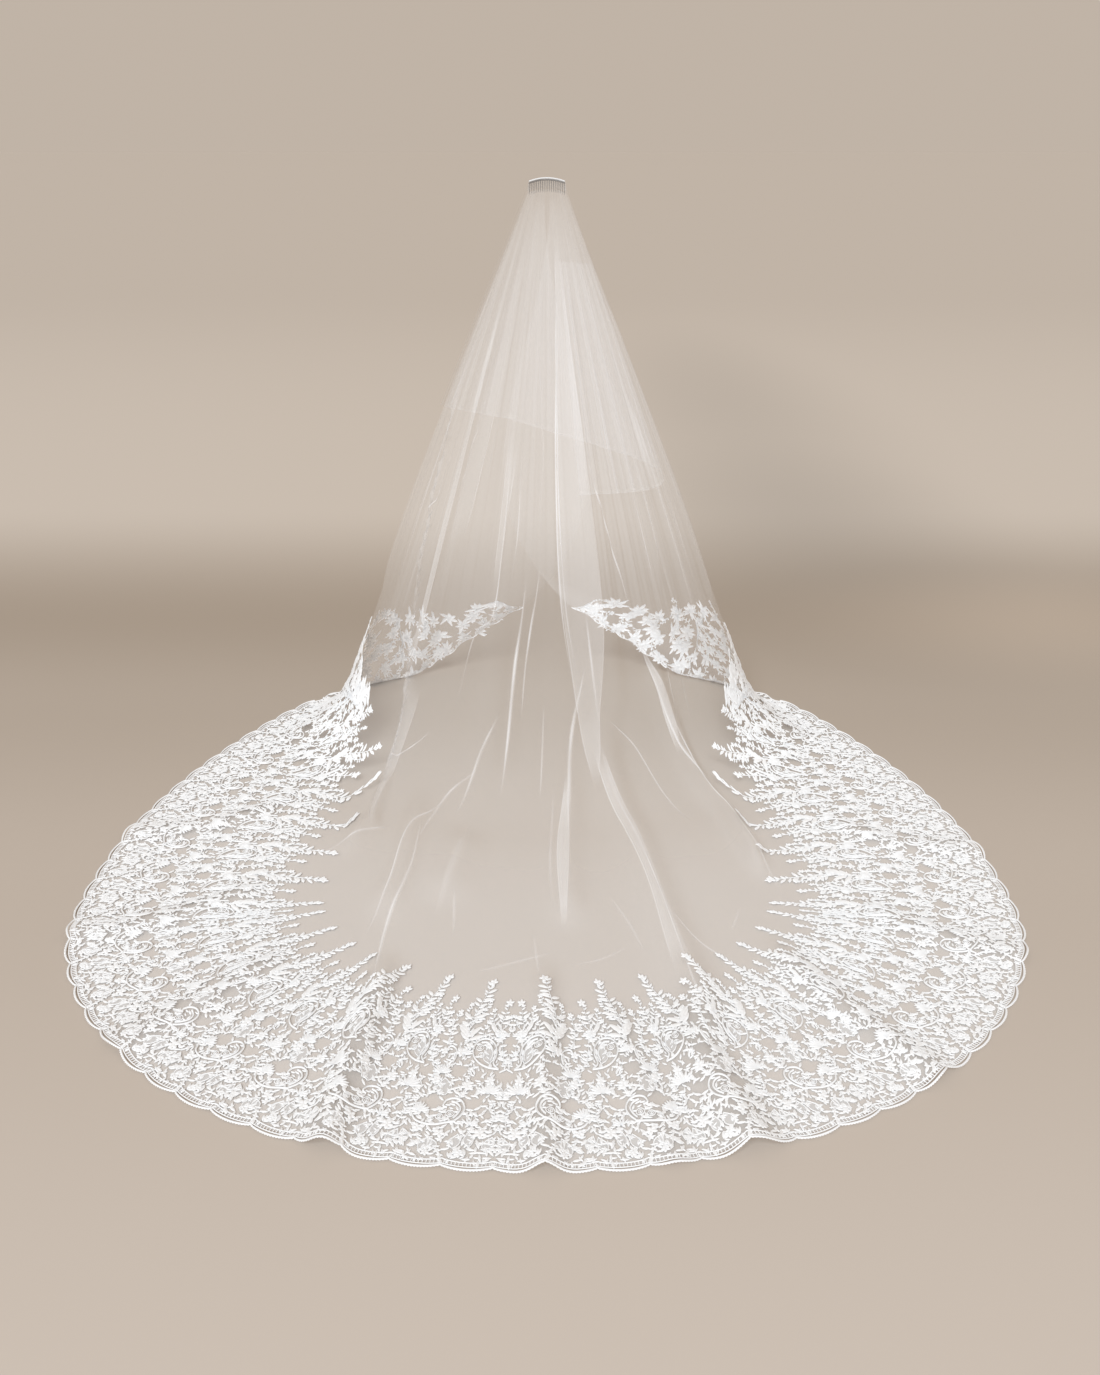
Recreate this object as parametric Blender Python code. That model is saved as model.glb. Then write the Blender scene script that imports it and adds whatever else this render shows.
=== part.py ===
"""A two-tier wedding veil on a hair comb, with a long train edged in corded lace.

The veil hangs as it does from the back of a head: the origin is the middle of the comb,
+Z is up, +X is to the wearer's right as seen from behind, and the train runs out
along -Y on the floor. Units are metres.

Every piece of cloth is a thin wall on one surface. A place on the long tier is given by
two lengths: `place`, measured along the cut hem from the middle of the train, and `inward`,
measured from the hem towards the comb along the net's own lengthwise line.
"""
import math
from functools import lru_cache

import bmesh
import bpy
import numpy as np
from mathutils import Vector
from mathutils.geometry import delaunay_2d_cdt

# Driving sizes
DROP = 1.67              # height of the comb over the floor
COMB_WIDTH = 0.105
NET_WALL = 0.0012
LACE_WALL = 0.0015
SEAM = 0.0003            # clearance between neighbouring pieces
UNITS_A_SIDE = 40        # half repeats of the lace from the middle of the train to a front corner

# The comb
TEETH = 20
TOOTH_ROOT = 0.0026
TOOTH_TIP = 0.0014
TOOTH_LENGTH = 0.036
TOOTH_TILT = 0.006       # how far a tooth's tip leans towards the train
SPINE_HEIGHT = 0.005
COMB_WALL = 0.0015
BINDING_RADIUS = 0.0016
BINDING_POINTS = 15
BOW = 0.010              # the comb's ends lie this much lower, and this much nearer the train

# The gathered heading that is bound over the comb
HEADING_HALF_WIDTH = 0.0545
HEADING_TOP_DEPTH = 0.0024
HEADING_DEPTH = 0.014
HEADING_TOP = 0.001
HEADING_DROP = 0.026
HEADING_PLEAT = 0.0012
HEADING_TOP_PLEAT = 0.5  # share of the pleats' height that is left at the comb
HEADING_ROUNDNESS = 0.6

# The hanging net is a cone on this oval foot
FOOT_SIDE = 0.70
FOOT_BACK = 0.67
FOOT_FRONT = 0.35
BEND = 0.25              # the net turns from the fall to the floor over this length each way
BEND_SHARE = 0.8
LIFT_BLEND = 0.03        # a hem lifted this much hangs free of the oval foot
HEM_REACH = 0.04         # the hem's direction is taken over this length each way
HEM_HANDLE = 0.5         # how long a lengthwise line keeps its direction at the hem and at the
FOOT_HANDLE = 0.3        # foot, as shares of its run on the floor
LEAST_FLOOR_RUN = 0.001  # a shorter run on the floor counts as none
FLOOR_POINTS = 25
BEND_POINTS = 13
RISE_POINTS = 40
FIRST_RISE = 0.02        # a line that hangs free has its second point at this share of its height

# The hem of the long tier, right half, from the middle of the train to the front corner.
# x, y: place in plan.  lift: height over the floor.  turn: angle round the oval foot that the
# lengthwise line from this point rises at, 0 at the train and 180 at the wearer's face.
HEM = (
    # x,     y,     lift,  turn
    (0.000, -2.21, 0.000, 0.0),
    (0.380, -2.16, 0.000, 11.0),
    (0.820, -1.93, 0.000, 24.0),
    (1.030, -1.68, 0.000, 33.0),
    (1.120, -1.49, 0.000, 38.0),
    (1.160, -1.07, 0.000, 46.0),
    (1.130, -0.80, 0.000, 53.0),
    (1.060, -0.52, 0.000, 62.0),
    (0.960, -0.26, 0.000, 75.0),
    (0.840, -0.03, 0.000, 92.0),
    (0.700, 0.15, 0.000, 112.0),
    (0.520, 0.26, 0.000, 135.0),
    (0.415, 0.30, 0.030, 145.0),
    (0.270, 0.33, 0.125, 158.0),
    (0.074, 0.35, 0.243, 173.0),
)

# Above the lace the two raw front edges swing across each other, the right one outside
SWING_RIGHT = 0.20
SWING_LEFT = 0.18
SWING_FROM = 3.35
OVERLAP_FROM = 3.2
OVERLAP_BLEND = 0.2
OVERLAP_STANDOFF = 0.034
OVERLAP_RAMP = 0.1       # share of the height over which the right edge comes to that standoff
OVERLAP_LEAST = 0.004
OVERLAP_LEAST_RAMP = 0.05
OVERLAP_TUCK = 0.040
CROSSING_SCALE = 6.75    # share * (1 - share)^2 peaks at 1 / 6.75, a third of the way up

# Width of the lace border at places along the hem
BORDER = (
    # place, width
    (0.00, 0.60),
    (2.60, 0.60),
    (2.94, 0.52),
    (3.16, 0.40),
    (3.38, 0.28),
    (3.67, 0.17),
    (3.85, 0.07),
    (3.90, 0.045),
)

# Folds of the long tier.  column: half repeats from the middle of the train, minus to the left.
# spread: half width in columns.  start, end: inward from the hem.  height: over the drape.
FOLDS = (
    # column, spread, start, end, height
    (4, 3, 1.70, 3.05, 0.024),
    (1, 1, 0.60, 2.90, 0.022),
    (7, 1, 1.95, 2.95, 0.016),
    (5, 1, 0.00, 1.75, 0.030),
    (0, 1, 0.00, 0.62, 0.018),
    (-6, 1, 1.95, 2.60, 0.020),
    (-3, 1, 1.35, 2.10, 0.026),
    (-1, 1, 1.65, 2.15, 0.014),
    (-9, 1, 1.50, 1.95, 0.016),
    (-25, 1, 1.20, 2.05, 0.030),
    (-19, 1, 1.05, 1.50, 0.022),
    (-13, 1, 0.70, 1.35, 0.026),
    (9, 1, 1.80, 2.45, 0.018),
    (18, 1, 1.35, 2.00, 0.020),
    (12, 1, 0.45, 1.80, 0.034),
    (8, 1, 1.10, 1.70, 0.014),
    (-10, 1, 0.55, 1.40, 0.022),
    (-7, 1, 0.50, 1.20, 0.014),
    (-5, 1, 0.00, 0.55, 0.022),
    (9, 1, 0.00, 0.50, 0.016),
    (-15, 1, 0.05, 0.55, 0.012),
    (23, 1, 0.85, 1.75, 0.018),
    (28, 1, 0.60, 1.60, 0.016),
    (33, 1, 0.20, 1.40, 0.018),
    (37, 1, 0.30, 1.20, 0.014),
    (-29, 1, 0.60, 1.60, 0.018),
    (-33, 1, 0.20, 1.40, 0.014),
    (-35, 1, 0.25, 1.10, 0.014),
    (20, 1, 0.00, 0.45, 0.010),
    (-21, 1, 0.00, 0.50, 0.012),
)
FOLD_FADE = 0.15         # a fold rises from nothing over this length
FULL_FOLD_REACH = 0.90   # within this reach of the comb the folds shrink with the cone
PLEAT = 0.0035           # the gathers run down the fall as pleats, one a repeat
PLEAT_FADE = 0.45
LEAST_PLEAT = 0.18       # share of their height that the pleats keep at the comb

# Stretches of the long tier.  Columns are half repeats from the middle of the train.
STRETCHES = (
    # name, first column, last column
    ("front_left", -40, -30),
    ("side_left", -30, -12),
    ("back", -12, 12),
    ("side_right", 12, 30),
    ("front_right", 30, 40),
)
FALL_STRETCHES = (
    ("front_left", -40, -31),
    ("side_left", -31, -18),
    ("back_left", -18, 0),
    ("back_right", 0, 18),
    ("side_right", 18, 31),
    ("front_right", 31, 40),
)
TRAIN_ROWS = 5
FALL_ROWS = 7
FALL_START_PAST_BEND = 0.15
LEAST_TRAIN_NET = 0.12

# Gaps of one half repeat of the lace, cut through.  The unit runs from a tall sprig's
# axis (across 0) to the axis between two sprigs (across 1); up is a share of the border.
# Gaps on an axis join with their mirrored half.
GAPS = (
    # across, up, half width, half height, lean
    (0.00, 0.215, 0.20, 0.055, 0.0),
    (0.54, 0.330, 0.23, 0.055, 0.35),
    (0.00, 0.500, 0.21, 0.075, 0.0),
    (1.00, 0.560, 0.20, 0.095, 0.0),
    (0.50, 0.800, 0.16, 0.125, 0.22),
)
GAP_SIDES = 6
LACE_MERGE = 1e-5        # points of the flat unit nearer than this are one
LEAST_CUT_BORDER = 0.15  # a border narrower than this is left uncut
SCALLOP = (
    # across, depth past the net's edge
    (0.22, 0.009),
    (0.50, 0.012),
    (0.78, 0.009),
)

# The short tier over the face.  turn: angle from the middle of the front, minus to the left.
SHORT_HEM = (
    # turn, drop as a share of DROP
    (-72.0, 0.396),
    (-20.0, 0.444),
    (7.0, 0.481),
    (30.0, 0.505),
    (63.0, 0.527),
    (69.0, 0.539),
)
RETURN_HEM = (
    # turn, drop as a share of DROP
    (12.0, 0.600),
    (30.0, 0.590),
    (60.0, 0.565),
    (69.0, 0.545),
)
SHORT_DEPTH = (
    # share of DROP, standoff of the short tier from the comb's plane
    (0.005, 0.0096),
    (0.0156, 0.0178),
    (0.100, 0.0720),
    (0.650, 0.3390),
)
SHORT_SPREAD_LEFT = 0.80
SHORT_SPREAD_RIGHT = 0.70
SHORT_TURN = 140.0       # degrees from the left spread to the right one
SHORT_ROUND_BY = 0.25    # share of DROP by which the heading's square corners are round
SHORT_TOP = 0.005
SHORT_COLUMNS = 26
SHORT_ROWS = 7
SHORT_PLEAT = 0.006
SHORT_PLEAT_FULL = 0.35  # share of DROP by which the pleats have their full height
RETURN_TOP = 0.14
RETURN_COLUMNS = 10
RETURN_ROWS = 4
RETURN_DEPTH = 0.45      # share of the room under the short tier that the return drops into
RETURN_SPREAD = 25.0     # degrees over which it does so

# Finishes
NET_COLOUR = (0.90, 0.88, 0.85, 1.0)
NET_ROUGHNESS = 0.6
NET_ALPHA = 0.45
LACE_COLOUR = (0.93, 0.92, 0.90, 1.0)
LACE_ROUGHNESS = 0.85
COMB_COLOUR = (0.55, 0.53, 0.50, 1.0)
COMB_ROUGHNESS = 0.45
COMB_METALLIC = 0.3
BINDING_COLOUR = (0.92, 0.92, 0.92, 1.0)
BINDING_ROUGHNESS = 0.5


def smooth_step(value):
    """Rise softly from 0 to 1."""
    value = min(max(value, 0.0), 1.0)
    return value * value * (3.0 - 2.0 * value)


def smooth_rows(knots, rows, where):
    """Read a table of rows at one place along its knots, on a smooth curve."""
    slopes = np.gradient(rows, knots, axis=0)
    i = int(np.clip(np.searchsorted(knots, where, side="right") - 1, 0, len(knots) - 2))
    span = knots[i + 1] - knots[i]
    t = (where - knots[i]) / span
    return (
        (2 * t**3 - 3 * t**2 + 1) * rows[i]
        + (t**3 - 2 * t**2 + t) * span * slopes[i]
        + (3 * t**2 - 2 * t**3) * rows[i + 1]
        + (t**3 - t**2) * span * slopes[i + 1]
    )


def mirrored_hem():
    """The whole hem as rows, from the left front corner round to the right one."""
    right = np.array(HEM)
    left = right[:0:-1] * np.array([-1.0, 1.0, 1.0, -1.0])
    rows = np.vstack([left, right])
    steps = np.linalg.norm(np.diff(rows[:, :3], axis=0), axis=1)
    knots = np.concatenate([[0.0], np.cumsum(steps)])
    return knots - knots[-1] / 2.0, rows


HEM_KNOTS, HEM_ROWS = mirrored_hem()
HALF_HEM = HEM_KNOTS[-1]
UNIT = HALF_HEM / UNITS_A_SIDE


def border_width(place):
    """Width of the lace border at a place along the hem."""
    table = np.array(BORDER)
    return float(np.interp(abs(place), table[:, 0], table[:, 1]))


def heading_point(turn, depth, drop):
    """A point of the gathered heading's oval, bowed as the comb is."""
    side = math.sin(turn)
    along = math.cos(turn)
    rounded = math.copysign(abs(along) ** HEADING_ROUNDNESS, along)
    bow = BOW * side * side
    return np.array([HEADING_HALF_WIDTH * side, -depth * rounded - bow, -drop - bow])


def run_of(line):
    """Length walked up to each point of a line."""
    steps = np.linalg.norm(np.diff(line, axis=0), axis=1)
    return np.concatenate([[0.0], np.cumsum(steps)])


def walk(line, run, length):
    """The point that lies this far along a line; a minus length goes on straight past its start."""
    i = int(np.clip(np.searchsorted(run, length, side="right") - 1, 0, len(run) - 2))
    share = min((length - run[i]) / (run[i + 1] - run[i]), 1.0)
    return line[i] + (line[i + 1] - line[i]) * share


@lru_cache(maxsize=None)
def lengthwise(place):
    """One lengthwise line of the net, from the hem to the comb.

    Returns its points, the length run at each, the length at which it leaves the floor,
    and half the length of the bend there.
    """
    x, y, lift, degrees = smooth_rows(HEM_KNOTS, HEM_ROWS, place)
    lift = max(lift, 0.0)
    turn = math.radians(degrees)
    hem = np.array([x, y, lift - DROP])
    depth = FOOT_BACK if math.cos(turn) > 0 else FOOT_FRONT
    oval = np.array([FOOT_SIDE * math.sin(turn), -depth * math.cos(turn), -DROP])
    hanging = smooth_step(lift / LIFT_BLEND)
    foot = oval * (1.0 - hanging) + hem * hanging
    top = heading_point(turn, HEADING_DEPTH, HEADING_DROP)

    ahead = smooth_rows(HEM_KNOTS, HEM_ROWS, place + HEM_REACH)
    behind = smooth_rows(HEM_KNOTS, HEM_ROWS, place - HEM_REACH)
    inward = np.array([behind[1] - ahead[1], ahead[0] - behind[0]])
    inward /= np.linalg.norm(inward)
    outward = np.array([math.sin(turn) / FOOT_SIDE, -math.cos(turn) / depth])
    outward /= np.linalg.norm(outward)

    on_floor = float(np.linalg.norm((foot - hem)[:2]))
    if on_floor < LEAST_FLOOR_RUN:
        heights = np.linspace(FIRST_RISE, 1.0, RISE_POINTS)[:, None]
        line = np.vstack([hem, foot + (top - foot) * heights])
        return line, run_of(line), 0.0, 0.0
    t = np.linspace(0.0, 1.0, FLOOR_POINTS)[:, None]
    plan = (
        (1 - t) ** 3 * hem[:2]
        + 3 * (1 - t) ** 2 * t * (hem[:2] + inward * HEM_HANDLE * on_floor)
        + 3 * (1 - t) * t**2 * (foot[:2] + outward * FOOT_HANDLE * on_floor)
        + t**3 * foot[:2]
    )
    floor_part = np.hstack([plan, hem[2] + (foot[2] - hem[2]) * t])
    rise = foot + (top - foot) * np.linspace(0.0, 1.0, RISE_POINTS)[1:, None]
    line = np.vstack([floor_part, rise])
    run = run_of(line)
    leaves = run[len(t) - 1]
    bend = min(BEND, BEND_SHARE * leaves)
    start = walk(line, run, leaves - bend)
    end = walk(line, run, leaves + bend)
    s = np.linspace(0.0, 1.0, BEND_POINTS)[:, None]
    corner = (1 - s) ** 2 * start + 2 * (1 - s) * s * foot + s**2 * end
    line = np.vstack([line[run < leaves - bend], corner, line[run > leaves + bend]])
    return line, run_of(line), leaves, bend


def drape(place, inward):
    """The long tier without its folds."""
    line, run, _, _ = lengthwise(place)
    point = walk(line, run, inward)
    swing = smooth_step((abs(place) - SWING_FROM) / (HALF_HEM - SWING_FROM))
    share = max(inward / run[-1], 0.0)
    across = CROSSING_SCALE * share * (1.0 - share) ** 2
    if place > 0.0:
        over = smooth_step((place - OVERLAP_FROM) / OVERLAP_BLEND)
        standoff = OVERLAP_STANDOFF * (1.0 - share) * smooth_step(share / OVERLAP_RAMP)
        standoff += OVERLAP_LEAST * smooth_step(across / OVERLAP_LEAST_RAMP)
        point = point + np.array([-SWING_RIGHT * across * swing, standoff * over, 0.0])
    else:
        point = point + np.array([SWING_LEFT, -OVERLAP_TUCK, 0.0]) * across * swing
    return point


def outward_normal(surface, place, inward, step=0.004):
    """Unit normal of a surface, up on the floor and out on the fall."""
    low = min(max(inward - step, 0.0), lengthwise(place)[1][-1] - 2 * step)
    along = surface(min(place + step, HALF_HEM), inward) - surface(max(place - step, -HALF_HEM), inward)
    normal = np.cross(along, surface(place, low + 2 * step) - surface(place, low))
    return normal / np.linalg.norm(normal)


def fold_height(place, inward):
    """How far the folds and pleats stand out from the drape."""
    _, run, leaves, bend = lengthwise(place)
    column = place / UNIT
    shrink = min(1.0, (run[-1] - inward) / FULL_FOLD_REACH)
    height = 0.0
    for crest, spread, start, end, rise in FOLDS:
        shape = 1.0 - abs(column - crest) / spread
        if shape <= 0.0:
            continue
        fade_in = 1.0 if start == 0.0 else smooth_step((inward - start) / FOLD_FADE)
        fade_out = smooth_step((end - inward) / FOLD_FADE)
        height += rise * shape * fade_in * fade_out * shrink
    pleat = 1.0 - 2.0 * abs(column - 2.0 * round(column / 2.0))
    pleat_from = max(leaves + bend, border_width(place))
    fade_in = smooth_step((inward - pleat_from) / PLEAT_FADE)
    height += PLEAT * (pleat + 1.0) * fade_in * max(shrink, LEAST_PLEAT)
    return height


@lru_cache(maxsize=None)
def long_tier(place, inward):
    """The long tier with its folds: a point of the wall's inner face."""
    return drape(place, inward) + outward_normal(drape, place, inward) * fold_height(place, inward)


def long_tier_wall(place, inward, wall):
    """Inner and outer point of a wall of the long tier."""
    inner = long_tier(place, inward)
    return inner, inner + outward_normal(long_tier, place, inward) * wall


def short_depth(drop_share):
    """Standoff of the short tier from the comb's plane, in the middle of the front."""
    table = np.array(SHORT_DEPTH)
    return float(np.interp(drop_share, table[:, 0], table[:, 1]))


def room_under_short_tier(drop_share):
    """Free depth between the short tier and the outer front edge of the long one."""
    long_depth = HEADING_DEPTH + (FOOT_FRONT - HEADING_DEPTH + OVERLAP_STANDOFF) * drop_share
    return short_depth(drop_share) - long_depth - OVERLAP_LEAST


def short_tier_point(turn_degrees, drop_share):
    """A point of the short tier."""
    turn = math.radians(turn_degrees)
    side = min(max(0.5 + turn_degrees / SHORT_TURN, 0.0), 1.0)
    spread = SHORT_SPREAD_LEFT + (SHORT_SPREAD_RIGHT - SHORT_SPREAD_LEFT) * side
    half = HEADING_HALF_WIDTH + NET_WALL + (spread - HEADING_HALF_WIDTH) * drop_share
    bow = BOW * math.sin(turn) ** 2 * (1.0 - drop_share)
    rounded = min(drop_share / SHORT_ROUND_BY, 1.0)
    roundness = HEADING_ROUNDNESS + (1.0 - HEADING_ROUNDNESS) * rounded
    depth = short_depth(drop_share) * math.cos(turn) ** roundness
    return np.array([half * math.sin(turn), depth - bow, -DROP * drop_share - bow])


def clear_scene():
    """Remove whatever the scene holds."""
    for item in list(bpy.data.objects):
        bpy.data.objects.remove(item, do_unlink=True)


def material(name, colour, roughness, metallic=0.0, alpha=1.0):
    """A Principled material."""
    made = bpy.data.materials.new(name)
    made.use_nodes = True
    shader = made.node_tree.nodes["Principled BSDF"]
    shader.inputs["Base Color"].default_value = colour
    shader.inputs["Roughness"].default_value = roughness
    shader.inputs["Metallic"].default_value = metallic
    shader.inputs["Alpha"].default_value = alpha
    return made


def wall_object(name, inner, outer, faces, finish):
    """A closed wall between two layers of points that share the same faces.

    The faces turn anticlockwise as seen from the outer side. Wherever a face has no
    neighbour, the two layers are joined by a strip along that edge.
    """
    count = len(inner)
    sides = {}
    for face in faces:
        for a, b in zip(face, face[1:] + face[:1]):
            sides[(a, b)] = True
    rim = [(a, b) for a, b in sides if (b, a) not in sides]
    mesh = bpy.data.meshes.new(name)
    outer_faces = [tuple(i + count for i in face) for face in faces]
    inner_faces = [tuple(reversed(face)) for face in faces]
    rim_faces = [(a, b, b + count, a + count) for a, b in rim]
    points = [tuple(p) for p in inner] + [tuple(p) for p in outer]
    mesh.from_pydata(points, [], outer_faces + inner_faces + rim_faces)
    mesh.update()
    shape = bmesh.new()
    shape.from_mesh(mesh)
    bmesh.ops.triangulate(shape, faces=[f for f in shape.faces if len(f.verts) > 3])
    shape.to_mesh(mesh)
    shape.free()
    made = bpy.data.objects.new(name, mesh)
    made.data.materials.append(finish)
    bpy.context.scene.collection.objects.link(made)
    return made


def grid_faces(columns, rows, turned=lambda i: False):
    """Triangles of a grid of points numbered column by column."""
    faces = []
    for i in range(columns - 1):
        for j in range(rows - 1):
            a = i * rows + j
            b = a + rows
            if turned(i):
                faces += [(a, b, a + 1), (b, b + 1, a + 1)]
            else:
                faces += [(a, b, b + 1), (a, b + 1, a + 1)]
    return faces


def draw_in(grid, amount):
    """Move the outer columns and rows of a grid of points inwards along the surface."""
    grid = grid.copy()
    for edge, beside in ((0, 1), (-1, -2)):
        step = grid[beside] - grid[edge]
        grid[edge] += step / np.linalg.norm(step, axis=-1, keepdims=True) * amount
    for edge, beside in ((0, 1), (-1, -2)):
        step = grid[:, beside] - grid[:, edge]
        grid[:, edge] += step / np.linalg.norm(step, axis=-1, keepdims=True) * amount
    return grid


def net_stretch(name, first, last, rows_of, finish):
    """One stretch of the long tier's net between two columns."""
    inner = []
    outer = []
    for column in range(first, last + 1):
        place = column * UNIT
        pairs = [long_tier_wall(place, inward, NET_WALL) for inward in rows_of(place)]
        inner.append([pair[0] for pair in pairs])
        outer.append([pair[1] for pair in pairs])
    inner = draw_in(np.array(inner), SEAM / 2)
    outer = draw_in(np.array(outer), SEAM / 2)
    columns, rows = inner.shape[:2]
    faces = grid_faces(columns, rows, lambda i: (first + i) % 2 == 0)
    return wall_object(name, inner.reshape(-1, 3), outer.reshape(-1, 3), faces, finish)


def fall_start(place):
    """Length inwards at which a lengthwise line counts as the hanging fall."""
    _, _, leaves, bend = lengthwise(place)
    return max(leaves + bend * FALL_START_PAST_BEND / BEND, border_width(place) + LEAST_TRAIN_NET)


def train_rows(place):
    """Rows of the net between the lace and the fall."""
    return np.linspace(border_width(place), fall_start(place), TRAIN_ROWS)


def fall_rows(place):
    """Rows of the net from the floor to the heading."""
    return np.linspace(fall_start(place), lengthwise(place)[1][-1], FALL_ROWS + 1)


def gap_outline(across, up, half_width, half_height, lean):
    """Corners of a gap in the lace, within one half repeat."""
    if across in (0.0, 1.0):
        turns = np.linspace(-math.pi / 2, math.pi / 2, GAP_SIDES // 2 + 1)
        reach = half_width if across == 0.0 else -half_width
        return [(round(across + reach * math.cos(t), 6), up + half_height * math.sin(t)) for t in turns]
    corners = []
    for i in range(GAP_SIDES):
        t = 2 * math.pi * i / GAP_SIDES
        shift = half_width * (math.cos(t) + lean * math.sin(t))
        corners.append((across + shift, up + half_height * math.sin(t)))
    return corners


def inside(outline, point):
    """True if a point lies inside an outline."""
    found = False
    for (xa, ya), (xb, yb) in zip(outline, outline[1:] + outline[:1]):
        if (ya > point[1]) != (yb > point[1]) and point[0] < xa + (point[1] - ya) * (xb - xa) / (yb - ya):
            found = not found
    return found


def lace_unit(cut):
    """Points and triangles of one flat half repeat, with or without its gaps."""
    scallop = [(across, -depth / BORDER[0][1]) for across, depth in SCALLOP]
    axis_gaps = {side: [gap_outline(*row) for row in GAPS if row[0] == side] for side in (0.0, 1.0)}
    sides = {}
    for side in (0.0, 1.0):
        corners = []
        for gap in axis_gaps[side]:
            corners += gap if cut else [gap[0], gap[-1]]
        sides[side] = corners
    outline = [(0.0, 0.0)] + scallop + [(1.0, 0.0)] + sides[1.0] + [(1.0, 1.0), (0.0, 1.0)] + sides[0.0][::-1]
    holes = [gap_outline(*row) for row in GAPS if row[0] not in (0.0, 1.0)] if cut else []
    points = []
    edges = []
    for loop in [outline] + holes:
        start = len(points)
        points += [Vector(p) for p in loop]
        edges += [(start + i, start + (i + 1) % len(loop)) for i in range(len(loop))]
    stretched = [Vector((p.x, p.y * BORDER[0][1] / UNIT)) for p in points]
    found, _, triangles, _, _, _ = delaunay_2d_cdt(stretched, edges, [], 0, LACE_MERGE)
    placed = [(p.x, p.y * UNIT / BORDER[0][1]) for p in found]
    kept = []
    for triangle in triangles:
        middle = np.mean([placed[i] for i in triangle], axis=0)
        if inside(outline, middle) and not any(inside(hole, middle) for hole in holes):
            kept.append(tuple(triangle))
    return placed, kept


def lace_stretch(name, first, last, finish):
    """One stretch of the lace border, with its gaps cut through."""
    units = {cut: lace_unit(cut) for cut in (True, False)}
    numbers = {}
    spots = []
    faces = []
    for column in range(first, last):
        middle = (column + 0.5) * UNIT
        points, triangles = units[border_width(middle) >= LEAST_CUT_BORDER]
        flipped = column % 2 != 0
        local = []
        for across, up in points:
            share = 1.0 - across if flipped else across
            key = (round(column + share, 5), round(up, 5))
            if key not in numbers:
                numbers[key] = len(spots)
                spots.append(key)
            local.append(numbers[key])
        for a, b, c in triangles:
            faces.append((local[a], local[c], local[b]) if flipped else (local[a], local[b], local[c]))
    inner = []
    outer = []
    for column, up in spots:
        place = column * UNIT
        width = border_width(place)
        if column == first:
            place += SEAM / 2
        if column == last:
            place -= SEAM / 2
        inward = up * width if up < 1.0 else width - SEAM / 2
        pair = long_tier_wall(place, inward, LACE_WALL)
        inner.append(pair[0])
        outer.append(pair[1])
    return wall_object(name, inner, outer, faces, finish)


def heading(finish):
    """The net gathered over the comb, in fine pleats."""
    inner = []
    outer = []
    for column in range(-UNITS_A_SIDE, UNITS_A_SIDE + 1):
        turn = math.radians(smooth_rows(HEM_KNOTS, HEM_ROWS, column * UNIT)[3])
        pleat = HEADING_PLEAT * (1 if column % 2 == 0 else -1)
        low = heading_point(turn, HEADING_DEPTH, HEADING_DROP - SEAM - NET_WALL)
        high = heading_point(turn, HEADING_TOP_DEPTH, HEADING_TOP)
        flat = np.array([math.sin(turn), -math.cos(turn), 0.0])
        top_pleat = pleat * HEADING_TOP_PLEAT
        inner.append([low + flat * pleat, high + flat * top_pleat])
        outer.append([low + flat * (pleat + NET_WALL), high + flat * (top_pleat + NET_WALL)])
    inner = np.array(inner)
    outer = np.array(outer)
    faces = grid_faces(inner.shape[0], inner.shape[1])
    return wall_object("heading", inner.reshape(-1, 3), outer.reshape(-1, 3), faces, finish)


def short_tier_turns():
    """Turns of the short tier's columns, from its left edge to the fold at its right."""
    return np.linspace(SHORT_HEM[0][0], SHORT_HEM[-1][0], SHORT_COLUMNS + 1)


def short_tier_wall(name, columns, shares_of, inset_of, finish):
    """A wall of the short tier over some of its columns."""
    turns = short_tier_turns()
    grid = []
    inset = []
    for column in columns:
        turn = turns[column]
        flat = np.array([math.sin(math.radians(turn)), math.cos(math.radians(turn)), 0.0])
        shares = shares_of(turn)
        wave = SHORT_PLEAT if column % 2 == 0 else 0.0
        line = []
        for share in shares:
            line.append(short_tier_point(turn, share) + flat * wave * min(share / SHORT_PLEAT_FULL, 1.0))
        grid.append(line)
        inset.append([inset_of(turn, share) for share in shares])
    grid = np.array(grid)
    normal = np.cross(np.gradient(grid, axis=0), np.gradient(grid, axis=1))
    normal /= np.linalg.norm(normal, axis=-1, keepdims=True)
    grid -= normal * np.array(inset)[..., None]
    outer = grid + normal * NET_WALL
    faces = grid_faces(grid.shape[0], grid.shape[1])
    return wall_object(name, grid.reshape(-1, 3), outer.reshape(-1, 3), faces, finish)


def short_tier(finish):
    """The short tier over the face, from its left edge to the fold at its right."""
    hem = np.array(SHORT_HEM)

    def shares(turn):
        end = float(np.interp(turn, hem[:, 0], hem[:, 1]))
        over_heading = [SHORT_TOP, SHORT_DEPTH[1][0]]
        return np.concatenate([over_heading, np.linspace(SHORT_DEPTH[2][0], end, SHORT_ROWS - 1)])

    return short_tier_wall("short_tier", range(SHORT_COLUMNS + 1), shares, lambda turn, share: 0.0, finish)


def short_tier_return(finish):
    """The edge of the short tier that turns back under it from the fold at its right."""
    hem = np.array(RETURN_HEM)
    fold_turn = SHORT_HEM[-1][0]

    def shares(turn):
        return np.linspace(RETURN_TOP, float(np.interp(turn, hem[:, 0], hem[:, 1])), RETURN_ROWS + 1)

    def inset(turn, share):
        fade_in = smooth_step((fold_turn - turn) / RETURN_SPREAD)
        return NET_WALL + 2.0 * SEAM + RETURN_DEPTH * room_under_short_tier(share) * fade_in

    columns = range(SHORT_COLUMNS - RETURN_COLUMNS, SHORT_COLUMNS + 1)
    return short_tier_wall("short_tier_return", columns, shares, inset, finish)


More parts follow.
